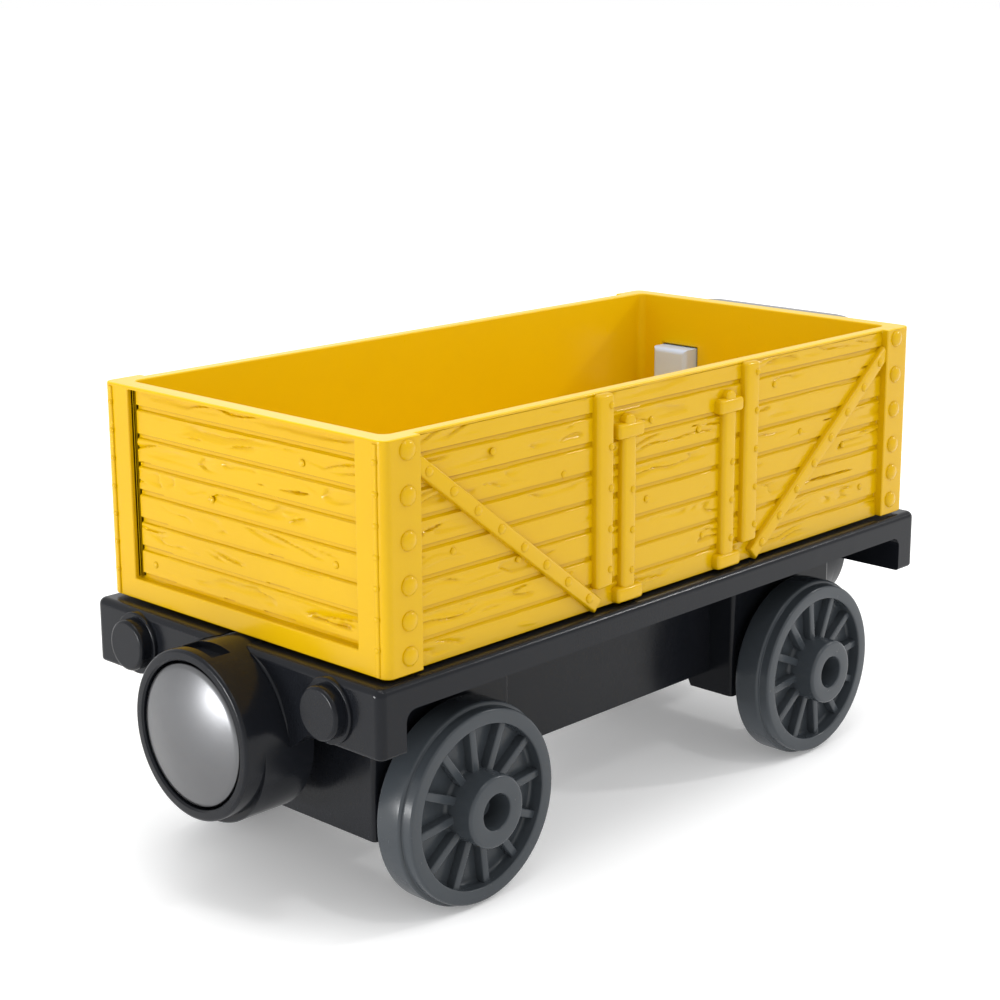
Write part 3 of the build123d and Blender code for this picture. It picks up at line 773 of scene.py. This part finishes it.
# ---------------------------------------------------------------- tub
def build_tub_shell():
    """Walls, floor, corner posts and rim, with pockets for the plank fields."""
    backing_y = plank_face_y - plank_backing
    quarter = (
        (post_inner_x, backing_y, 0.0),
        (post_inner_x, post_face_y, 0.0),
        (tub_end_x, post_face_y, tub_corner),
    )
    corners = []
    for x_sign, y_sign in ((1, 1), (1, -1), (-1, -1), (-1, 1)):
        part = [(x * x_sign, y * y_sign, radius) for x, y, radius in quarter]
        corners += part if x_sign * y_sign > 0 else part[::-1]
    bm = bmesh.new()
    prism(bm, rounded(corners), tub_bottom, tub_top, upright)
    shell = new_object("tub_shell", bm)

    bm = bmesh.new()
    rim_end_x = post_inner_x + 1.0
    block(bm, (-rim_end_x, -plank_face_y, recess_high_z), (rim_end_x, plank_face_y, tub_top))
    cut(shell, new_object("rim", bm), "UNION")

    bm = bmesh.new()
    inner = ((inner_x, inner_y), (inner_x, -inner_y), (-inner_x, -inner_y), (-inner_x, inner_y))
    inner = [(x, y, tub_corner) for x, y in inner]
    prism(bm, rounded(inner), tub_bottom + tub_floor, tub_top + spare_cut, upright)
    cut(shell, new_object("cavity", bm))

    bm = bmesh.new()
    block(
        bm,
        (-tub_end_x - spare_cut, -recess_half, recess_low_z),
        (-tub_end_x + recess_depth + plank_backing, recess_half, recess_high_z),
    )
    cut(shell, new_object("recess", bm))

    bm = bmesh.new()
    spare = 0.03
    for y_sign in (-1, 1):
        edges = sorted((y_sign * (recess_half - end_slot_width), y_sign * (recess_half + spare)))
        block(
            bm,
            (-tub_end_x + recess_depth, edges[0], recess_low_z + spare),
            (-tub_end_x + end_slot_depth, edges[1], recess_high_z - spare),
        )
    cut(shell, new_object("end_slots", bm))

    bm = bmesh.new()
    slot_top = tub_top - lever_top_drop + slot_gap
    slot_bottom = slot_top - lever_height - lever_travel - 2 * slot_gap
    slot_left = lever_high.y + slot_gap
    slot_right = lever_high.y - lever_width - slot_gap
    low = (inner_x - spare_cut, slot_right, slot_bottom)
    high = (tub_end_x + spare_cut, slot_left, slot_top)
    block(bm, low, high)
    cut(shell, new_object("lever_slot", bm))

    soften(shell, tub_round)
    finish(shell, yellow, stands_for=["tub"])

    # Painted light: the cavity and the top of the rim take a lighter copy of the outside yellow, standing
    # in for the light that falls there.
    shell.data.materials.append(painted_light_yellow)
    for face in shell.data.polygons:
        x, y, z = (abs(value) / MM for value in face.center)
        inside = x < inner_x + tub_round and y < inner_y + tub_round
        if (inside and z > tub_bottom + tub_floor / 2) or z > tub_top - tub_round / 2:
            face.material_index = 1


def build_planks(name, length, height, seed, to_place):
    """One field of planks as a closed slab. to_place is its matrix in the frame."""
    made = new_object(name, bmesh.new())
    values = {
        "Length": length,
        "Height": height,
        "Step Along": plank_step_along,
        "Step Up": plank_step_up,
        "Top Plank": top_plank - rim_height,
        "Plank Pitch": plank_pitch,
        "Seam Width": seam_width,
        "Seam Depth": seam_depth,
        "Stroke Depth": stroke_depth,
        "Split Depth": split_depth,
        "Seed": seed,
        "Material": yellow_wood,
    }
    grow(made, planks, values)
    bm = bmesh.new()
    bm.from_mesh(made.data)
    border = [edge for edge in bm.edges if edge.is_boundary]
    sides = bmesh.ops.extrude_edge_only(bm, edges=border)["geom"]
    back = [item for item in sides if isinstance(item, bmesh.types.BMVert)]
    for vert in back:
        vert.co.z = -plank_backing - plank_root
    rear_edges = [edge for edge in bm.edges if edge.is_boundary]
    bmesh.ops.holes_fill(bm, edges=rear_edges, sides=0)
    bmesh.ops.recalc_face_normals(bm, faces=bm.faces)
    bm.to_mesh(made.data)
    bm.free()
    made.data.transform(to_place)
    smooth(made, angle=42.0)
    return finish(made, yellow_wood)


def facing_matrix(along, up, origin):
    """A matrix that lays a flat field along two directions at a place."""
    along, up = Vector(along), Vector(up)
    return Matrix.Translation(origin) @ Matrix((along, up, along.cross(up))).transposed().to_4x4()


def build_plank_fields():
    """The planks of both sides and of the rear end."""
    side_height = recess_high_z - tub_bottom
    side_z = (recess_high_z + tub_bottom) / 2
    for name, side, seed in (("side_planks_right", -1, 3.0), ("side_planks_left", 1, 41.0)):
        matrix = facing_matrix((-side, 0, 0), (0, 0, 1), (0, side * plank_face_y, side_z))
        build_planks(name, 2 * post_inner_x, side_height, seed, matrix)
    matrix = facing_matrix(
        (0, -1, 0), (0, 0, 1), (-tub_end_x + recess_depth, 0, (recess_low_z + recess_high_z) / 2)
    )
    length = 2 * (recess_half - end_slot_width)
    build_planks("end_planks_rear", length, recess_high_z - recess_low_z, 77.0, matrix)


def rivet_group(name, points, radius, height, segments):
    """Domed heads at (place, facing) points, as one piece."""
    mesh = bpy.data.meshes.new(name)
    mesh.from_pydata([place for place, _ in points], [], [])
    facing = mesh.attributes.new("facing", "FLOAT_VECTOR", "POINT")
    facing.data.foreach_set("vector", [value for _, direction in points for value in direction])
    made = bpy.data.objects.new(name, mesh)
    bpy.context.scene.collection.objects.link(made)
    values = {"Head Radius": radius, "Head Height": height, "Segments": segments, "Material": yellow}
    grow(made, rivets, values)
    return finish(made, yellow)


def edges_at(faces, y, test):
    """The edges of some faces that have all or any of their ends on a plane across Y."""
    found = dict.fromkeys(edge for face in faces for edge in face.edges)
    return [edge for edge in found if test(abs(vert.co.y - y) < 1e-6 for vert in edge.verts)]


def bar(bm, low, high, side, proud, edge_round):
    """A bar on a side wall, between (x, z) corners, with rounded edges."""
    outer = side * (plank_face_y + proud)
    inner = side * (plank_face_y - plank_backing)
    near, far = sorted((outer, inner))
    box = block(bm, (low[0], near, low[1]), (high[0], far, high[1]))
    edges = edges_at(box, outer, any)
    bmesh.ops.bevel(bm, geom=edges, offset=edge_round, segments=4, profile=0.5, affect="EDGES")


def brace_line(hand):
    """The ends of a diagonal brace's centre line, as (x, z)."""
    foot = Vector((hand * (stanchion_x + stanchion_width / 2), tub_bottom + brace_foot_rise))
    head = Vector((hand * post_inner_x, tub_top - brace_top_drop))
    return foot, head


def add_stanchion(bm, side, hand):
    """An upright beside the door, from above the deck to the rim."""
    x = hand * stanchion_x
    half = stanchion_width / 2
    low = (x - half, tub_bottom + stanchion_foot)
    high = (x + half, tub_top - rim_height / 2)
    bar(bm, low, high, side, stanchion_proud, stanchion_round)


def add_door_strap(bm, side, hand):
    """A strap with a cap across each end and a round stub on top."""
    x = hand * strap_x
    half = strap_width / 2
    low = (x - half, tub_bottom + strap_end_gap)
    high = (x + half, strap_top - strap_end_gap)
    bar(bm, low, high, side, strap_proud, strap_round)
    half = cap_width / 2
    for cap_z in (tub_bottom + cap_foot_gap, strap_top - cap_height):
        bar(bm, (x - half, cap_z), (x + half, cap_z + cap_height), side, cap_proud, cap_round)
    root = plank_face_y - plank_backing
    face = plank_face_y + stub_proud
    stub = ((root, 0.0, 0.0), (root, stub_radius, 0.0), (face, stub_radius, stub_round), (face, 0.0, 0.0))
    lathe(bm, rounded(stub), about_y(side, x, strap_top), 32)


def add_brace(bm, side, hand):
    """A diagonal brace from the foot of a stanchion to the corner post."""
    foot, head = brace_line(hand)
    direction = (head - foot).normalized()
    across = Vector((-direction.y, direction.x)) * brace_width / 2
    start = foot - direction * brace_overrun
    stop = head + direction * brace_overrun
    outline = [start - across, stop - across, stop + across, start + across]
    outer = side * (plank_face_y + brace_proud)
    inner = side * (plank_face_y - plank_backing)
    faces = prism(bm, outline, inner, outer, lambda a, b, c: (a, c, b))
    edges = edges_at(faces, outer, all)
    bmesh.ops.bevel(bm, geom=edges, offset=brace_round, segments=3, profile=0.5, affect="EDGES")


def build_side_furniture():
    """Stanchions, door straps with caps, and diagonal braces, on both sides."""
    kinds = (
        ("stanchions", add_stanchion),
        ("door_straps", add_door_strap),
        ("diagonal_braces", add_brace),
    )
    for name, add in kinds:
        bm = bmesh.new()
        for side in (-1, 1):
            for hand in (-1, 1):
                add(bm, side, hand)
        bmesh.ops.recalc_face_normals(bm, faces=bm.faces)
        made = smooth(new_object(name, bm), angle=40.0)
        finish(made, yellow)


def build_corner_beads():
    """A thin raised bead down the end faces beside each corner post."""
    bm = bmesh.new()
    for x_sign in (-1, 1):
        root = x_sign * (tub_end_x - plank_backing)
        face = x_sign * (tub_end_x + corner_bead_proud)
        for y_sign in (-1, 1):
            middle = y_sign * (post_face_y - corner_bead_inset)
            start, stop = middle - corner_bead_width / 2, middle + corner_bead_width / 2
            corners = (
                (root, start, 0.0),
                (face, start, corner_bead_round),
                (face, stop, corner_bead_round),
                (root, stop, 0.0),
            )
            prism(bm, rounded(corners), tub_bottom + corner_bead_foot, tub_top - rim_height, upright)
    made = smooth(new_object("corner_beads", bm), angle=50.0)
    finish(made, yellow)


def post_and_side_rivets():
    """Where the heads on the posts, the braces, and the straps and stanchions go."""
    posts, braces, edges = [], [], []
    for side in (-1, 1):
        facing = (0, side, 0)
        stanchion_y = side * (plank_face_y + stanchion_proud)
        strap_y = side * (plank_face_y + strap_proud)
        brace_y = side * (plank_face_y + brace_proud)
        for hand in (-1, 1):
            for drop in post_rivet_drops:
                posts.append(((hand * post_rivet_x, side * post_face_y, tub_top - drop), facing))
            stanchion_line = hand * stanchion_x - side * stanchion_rivet_shift
            strap_line = hand * strap_x - side * strap_rivet_shift
            for row in range(edge_rivet_rows):
                z = tub_bottom + edge_rivet_foot + row * edge_rivet_pitch
                edges.append(((stanchion_line, stanchion_y, z + stanchion_rivet_rise), facing))
                if z < strap_top - 2 * cap_height:
                    edges.append(((strap_line, strap_y, z), facing))
            foot, head = brace_line(hand)
            for step in range(brace_rivet_count):
                middle = foot.lerp(head, (step + brace_rivet_start) / brace_rivet_span)
                braces.append(((middle.x, brace_y, middle.y), facing))
    return posts, braces, edges


def nail_places():
    """Where the nail heads in the planks go."""
    recess_x = -tub_end_x + recess_depth
    nails = [((recess_x, y, z), (-1, 0, 0)) for y, z in end_nails]
    for side in (-1, 1):
        nails += [((-side * x, side * plank_face_y, z), (0, side, 0)) for x, z in side_nails]
    return nails


def corner_dot_places():
    """A small head on each corner bead at every seam."""
    dots = []
    seam = tub_top - top_plank
    while seam > tub_bottom + corner_dot_lowest:
        for x_sign in (-1, 1):
            x = x_sign * (tub_end_x + corner_bead_proud / 2)
            for y_sign in (-1, 1):
                y = y_sign * (post_face_y - corner_bead_inset)
                dots.append(((x, y, seam), (x_sign, 0, 0)))
        seam -= plank_pitch
    return dots


def build_rivets():
    """Every rivet and nail head on the tub, in groups by size."""
    posts, braces, edges = post_and_side_rivets()
    rivet_group("post_rivets", posts, post_rivet_radius, post_rivet_height, segments=28)
    rivet_group("brace_rivets", braces, brace_rivet_radius, brace_rivet_height, segments=16)
    rivet_group("edge_rivets", edges, edge_rivet_radius, edge_rivet_height, segments=14)
    rivet_group("plank_nails", nail_places(), nail_radius, nail_height, segments=14)
    rivet_group("corner_dots", corner_dot_places(), corner_dot_radius, corner_dot_height, segments=12)


# ---------------------------------------------------------------- end plate
def build_end_plate():
    """A plain shell plate with a raised border and a framed window, over the front wall."""
    half = -plate_low.y
    low, high = plate_low.z, plate_high.z - plate_top_drop
    face = plate_high.x

    def outline(inset):
        top = plate_top_radius - inset
        foot = max(plate_foot_radius - inset, 0.3)
        side = half - inset
        return rounded(
            (
                (-side, low + inset, foot),
                (side, low + inset, foot),
                (side, high - inset, top),
                (-side, high - inset, top),
            ),
            steps=10,
        )

    def window(margin):
        middle = lever_low.z + lever_travel / 2
        side = -lever_low.y - window_overlap + margin
        rise = window_height / 2 + margin
        radius = window_radius + margin
        corners = ((-side, -rise), (side, -rise), (side, rise), (-side, rise))
        return rounded([(a, middle + b, radius) for a, b in corners])

    def along_x(a, b, height):
        return (height, a, b)

    bm = bmesh.new()
    faces = prism(bm, outline(0.0), tub_end_x, face, along_x)
    front_edges = list(faces[1].edges)
    bmesh.ops.bevel(bm, geom=front_edges, offset=plate_round, segments=6, profile=0.5, affect="EDGES")
    plate = new_object("end_plate_shell", bm)
    bm = bmesh.new()
    prism(bm, outline(plate_wall), tub_end_x - spare_cut, face - plate_wall, along_x)
    cut(plate, new_object("plate_hollow", bm))
    bm = bmesh.new()
    prism(bm, outline(plate_bead_width), face - plate_bead, face + spare_cut, along_x)
    cut(plate, new_object("plate_field", bm))
    bm = bmesh.new()
    prism(bm, window(window_frame_width), face - plate_wall, face - window_frame_drop, along_x)
    cut(plate, new_object("window_frame", bm), "UNION")
    bm = bmesh.new()
    prism(bm, window(0.0), face - 2 * plate_wall, face + spare_cut, along_x)
    cut(plate, new_object("window", bm))
    soften(plate, plate_edge_round)
    finish(plate, plate_grey, stands_for=["end_plate"])


# ---------------------------------------------------------------- wheels
def wheel_outline():
    """Half a wheel's section, as (along the axle, radius)."""
    step = wheel_back + tread_width
    face = step + ring_width
    hub_face = -wheel_low.y
    thrust = -wheel_high.y
    ring = wheel_radius - ring_step
    rim = wheel_radius - rim_width
    web = face - web_drop
    corners = (
        (thrust, axle_bore, 0.0),
        (thrust, thrust_boss_radius, 0.2),
        (wheel_back + back_recess, thrust_boss_radius, 0.25),
        (wheel_back + back_recess, rim, 0.3),
        (wheel_back, rim, 0.25),
        (wheel_back, wheel_radius, 0.35),
        (step, wheel_radius, 0.26),
        (step, ring, 0.1),
        (face, ring, 0.24),
        (face, rim, 0.16),
        (web, rim, 0.3),
        (web, hub_radius, 0.4),
        (hub_face, hub_radius, 0.3),
        (hub_face, hub_hole_radius, 0.15),
        (hub_face - hub_hole_depth, hub_hole_radius, 0.2),
        (hub_face - hub_hole_depth, axle_bore, 0.0),
    )
    return rounded(corners, steps=5)


def build_wheel(end, hand):
    """A moulded wheel with spokes. hand is -1 on the right and 1 on the left."""
    side_name = "right" if hand < 0 else "left"
    node = f"wheel_{end}_{side_name}"
    low, high = box_mm(node)
    middle_x = (low.x + high.x) / 2
    middle_z = (low.z + high.z) / 2
    bm = bmesh.new()
    lathe(bm, wheel_outline(), about_y(hand, middle_x, middle_z), 128)
    made = smooth(new_object(f"{end}_{side_name}_wheel_casting", bm), angle=50.0)
    finish(made, wheel_grey, f"wheelset_{end}", [node])

    face = wheel_back + tread_width + ring_width
    web = face - web_drop
    ribs = new_object(f"{end}_{side_name}_wheel_spokes", bmesh.new())
    values = {
        "Count": spoke_count,
        "Inner Radius": hub_radius - spoke_root,
        "Outer Radius": wheel_radius - rim_width + spoke_root,
        "Width": spoke_width,
        "Height": web_drop - spoke_drop,
        "Edge Round": spoke_round,
        "Phase": spoke_phase,
        "Material": wheel_grey,
    }
    grow(ribs, spokes, values)
    ribs.data.transform(facing_matrix((1, 0, 0), (0, 0, -hand), (middle_x, hand * web, middle_z)))
    smooth(ribs, angle=50.0)
    finish(ribs, wheel_grey, f"wheelset_{end}")


# ---------------------------------------------------------------- couplers
def barrel_ring(radius, hang):
    """A cross-section whose lower half hangs by an amount, as (y, z) from the axis."""
    steps = 48
    ring = []
    for start, drop in ((-0.5, 0.0), (0.5, hang)):
        for step in range(steps + 1):
            angle = math.pi * (step / steps + start)
            ring.append((radius * math.sin(angle), radius * math.cos(angle) - drop))
    return ring


def build_barrel(end, x_sign):
    """The housing of a coupler magnet, with its front ring, bore, crest slot and neck."""
    node = f"coupler_barrel_{end}"
    ring_back = ring_face_x - ring_length
    sections = [
        (barrel_back_x, ring_radius, barrel_drop),
        (ring_back - 0.12, ring_radius, barrel_drop),
        (ring_back, ring_radius, barrel_drop - 0.1),
        (ring_back + 0.01, ring_radius, 0.0),
    ]
    steps = 5
    for step in range(steps + 1):
        angle = math.pi / 2 * step / steps
        along = ring_face_x - ring_round + ring_round * math.sin(angle)
        radius = ring_radius - ring_round + ring_round * math.cos(angle)
        sections.append((along, radius, 0.0))
    bm = bmesh.new()
    rings = [
        [bm.verts.new((x_sign * along, y, coupler_z + z)) for y, z in barrel_ring(radius, hang)]
        for along, radius, hang in sections
    ]
    for ring, other in zip(rings, rings[1:]):
        for index in range(len(ring)):
            bm.faces.new((ring[index - 1], ring[index], other[index], other[index - 1]))
    bm.faces.new(rings[0])
    bm.faces.new(rings[-1])
    bmesh.ops.remove_doubles(bm, verts=bm.verts, dist=1e-4)
    bmesh.ops.recalc_face_normals(bm, faces=bm.faces)
    made = new_object(f"{end}_coupler_barrel", bm)

    bm = bmesh.new()
    flare = barrel_bore + bore_flare
    bore = (
        (barrel_floor_x, 0.0, 0.0),
        (barrel_floor_x, barrel_bore, 0.3),
        (ring_face_x - 0.15, barrel_bore, 0.0),
        (ring_face_x + 0.35, flare, 0.0),
        (ring_face_x + spare_cut, flare, 0.0),
        (ring_face_x + spare_cut, 0.0, 0.0),
    )
    lathe(bm, rounded(bore), about_x(x_sign, coupler_z), 128)
    cut(made, new_object("bore", bm))

    bm = bmesh.new()
    front = ring_face_x - notch_setback
    crest = coupler_z + ring_radius
    ends = sorted((x_sign * front, x_sign * (front - notch_length)))
    block(bm, (ends[0], -notch_half, crest - notch_depth), (ends[1], notch_half, crest + spare_cut))
    cut(made, new_object("notch", bm))
    smooth(made, angle=32.0)
    finish(made, black, stands_for=[node])

    bm = bmesh.new()
    neck = (
        (neck_end_x, 0.0, 0.0),
        (neck_end_x, neck_radius, 0.3),
        (barrel_back_x + 0.5, neck_radius, 0.0),
        (barrel_back_x + 0.5, 0.0, 0.0),
    )
    lathe(bm, rounded(neck), about_x(x_sign, coupler_z), 64)
    made = smooth(new_object(f"{end}_coupler_neck", bm), angle=40.0)
    finish(made, black)


def build_barrel_bead(end, x_sign):
    """A thin rolled edge on the beam where the barrel passes through it."""
    radius = ring_radius + 0.1
    highest = math.acos((deck_top - 0.25 - coupler_z) / radius)
    lowest = math.radians(84)
    steps, sides = 40, 10
    bm = bmesh.new()
    for y_sign in (-1, 1):
        rings = []
        for step in range(steps + 1):
            angle = highest + (lowest - highest) * step / steps
            thickness = barrel_bead * min(1.0, 4 * step / steps, 4 * (steps - step) / steps) + 0.01
            ring = []
            for side in range(sides):
                turn = 2 * math.pi * side / sides
                reach = radius + thickness * math.cos(turn)
                x = beam_face_x + thickness * math.sin(turn)
                y = y_sign * reach * math.sin(angle)
                ring.append(bm.verts.new((x_sign * x, y, coupler_z + reach * math.cos(angle))))
            rings.append(ring)
        for ring, other in zip(rings, rings[1:]):
            for side in range(sides):
                bm.faces.new((ring[side - 1], ring[side], other[side], other[side - 1]))
        bm.faces.new(rings[0])
        bm.faces.new(rings[-1])
    bmesh.ops.recalc_face_normals(bm, faces=bm.faces)
    made = smooth(new_object(f"{end}_barrel_bead", bm), angle=50.0)
    finish(made, black)


def build_cap(end, x_sign):
    """A domed disc with a rolled edge."""
    node = f"magnet_cap_{end}"
    edge_x = -cap_low.x - cap_dome
    back_x = -cap_high.x
    dome_radius = (cap_radius**2 + cap_dome**2) / (2 * cap_dome)
    middle = edge_x + cap_dome - dome_radius
    reach = math.asin(cap_radius / dome_radius)

    # The rolled edge, from the back to where the dome starts.
    outline = [
        (back_x, cap_radius - cap_wall),
        (back_x, cap_radius),
        (edge_x - 0.16, cap_radius),
        (edge_x - 0.07, cap_radius - 0.03),
        (edge_x + 0.02, cap_radius - 0.11),
    ]
    steps = 24
    for step in range(2, steps + 1):
        angle = reach * (1 - step / steps)
        outline.append((middle + dome_radius * math.cos(angle), dome_radius * math.sin(angle)))
    outline.append((edge_x - cap_wall + cap_dome, 0.0))
    outline.append((edge_x - cap_wall, cap_radius - cap_wall))
    bm = bmesh.new()
    lathe(bm, outline, about_x(x_sign, coupler_z), 128)
    made = smooth(new_object(f"{end}_cap_disc", bm), angle=50.0)
    finish(made, cap_steel, f"coupler_magnet_{end}", [node])


# ---------------------------------------------------------------- CAD nodes that stay
def paint_cad_nodes():
    """The CAD nodes whose shape is right take their finish from here."""
    finishes = {
        "chassis": black,
        "underframe": black,
        "frame_screws": screw_steel,
        "lever_slide": lever_grey,
        "axle_rear": wheel_grey,
        "axle_front": wheel_grey,
        "magnet_rear": magnet_nickel,
        "magnet_front": magnet_nickel,
        "magnet_holder_rear": black,
        "magnet_holder_front": black,
    }
    for node, material in finishes.items():
        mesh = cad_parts[node].data
        mesh.materials.clear()
        mesh.materials.append(material)


# ---------------------------------------------------------------- stage, in metres
floor_reach = 4.0
floor_glow = 0.18
camera_azimuth = math.radians(-47.195)
camera_elevation = math.radians(13.486)
camera_distance = 0.1823
camera_target = Vector((0, 0, 0.02938))
lamp_target = Vector((0, 0, 0.02))

# Each lamp has its place, its width and height, and its power.
lamps = (
    ("end_lamp", (-0.325, 0.12, 0.01), 0.1, 0.02, 0.52),
    ("wheel_lamp", (0.0, -0.3, 0.4), 0.03, 0.03, 0.17),
    ("side_lamp", (0.34, -0.22, 0.26), 0.03, 0.03, 0.34),
    ("top_lamp", (-0.06, -0.02, 0.52), 0.3, 0.3, 0.8),
    ("back_lamp", (0.3, 0.4, 0.3), 0.1, 0.1, 0.2),
)


def build_floor():
    """A pale floor with a little light of its own, so that it meets the backdrop without a line."""
    bm = bmesh.new()
    bmesh.ops.create_grid(bm, x_segments=1, y_segments=1, size=floor_reach)
    floor = new_object("studio_floor", bm)
    floor_material, graph, place = start_material("studio_floor")
    shade = graph.noise(place, 0.01, detail=2.0) * 0.02
    floor_colour = graph.blend(shade, colour(0.96, 0.96, 0.96), colour(0.9, 0.9, 0.9))
    close_material(
        graph,
        Base_Color=floor_colour,
        Roughness=0.9,
        Specular_IOR_Level=0.1,
        Emission_Color=colour(1.0, 1.0, 1.0),
        Emission_Strength=floor_glow,
    )
    floor.data.materials.append(floor_material)


def build_room():
    """An even white room."""
    world = bpy.data.worlds.new("studio")
    world.use_nodes = True
    backdrop = world.node_tree.nodes["Background"]
    backdrop.inputs["Color"].default_value = colour(1.0, 1.0, 1.0)
    backdrop.inputs["Strength"].default_value = 1.0
    bpy.context.scene.world = world


def build_lamps():
    """Weak lamps that add gloss to the even room."""
    for name, place, width, height, power in lamps:
        lamp = bpy.data.lights.new(name, "AREA")
        lamp.shape = "RECTANGLE"
        lamp.size = width
        lamp.size_y = height
        lamp.energy = power
        holder = bpy.data.objects.new(name, lamp)
        holder.location = place
        aim = lamp_target - Vector(place)
        holder.rotation_euler = aim.to_track_quat("-Z", "Y").to_euler()
        holder.visible_camera = False
        bpy.context.scene.collection.objects.link(holder)


def build_camera():
    flat = math.cos(camera_elevation)
    away = Vector(
        (
            math.sin(camera_azimuth) * flat,
            -math.cos(camera_azimuth) * flat,
            math.sin(camera_elevation),
        )
    )
    camera = bpy.data.cameras.new("camera")
    camera.lens = 73.66
    camera.sensor_width = 36.0
    camera.shift_x = -0.0361
    camera.shift_y = -0.0327
    camera.clip_start = 0.01
    camera.clip_end = 20.0
    holder = bpy.data.objects.new("camera", camera)
    holder.location = camera_target + away * camera_distance
    holder.rotation_euler = (-away).to_track_quat("-Z", "Y").to_euler()
    scene = bpy.context.scene
    scene.collection.objects.link(holder)
    scene.camera = holder
    scene.view_settings.view_transform = "Standard"


build_floor()
build_room()
build_lamps()
build_camera()
paint_cad_nodes()
build_tub_shell()
build_plank_fields()
build_side_furniture()
build_corner_beads()
build_rivets()
build_end_plate()
for end_name in ("rear", "front"):
    for side_hand in (-1, 1):
        build_wheel(end_name, side_hand)
for end_name, end_sign in (("rear", -1), ("front", 1)):
    build_barrel(end_name, end_sign)
    build_barrel_bead(end_name, end_sign)
    build_cap(end_name, end_sign)
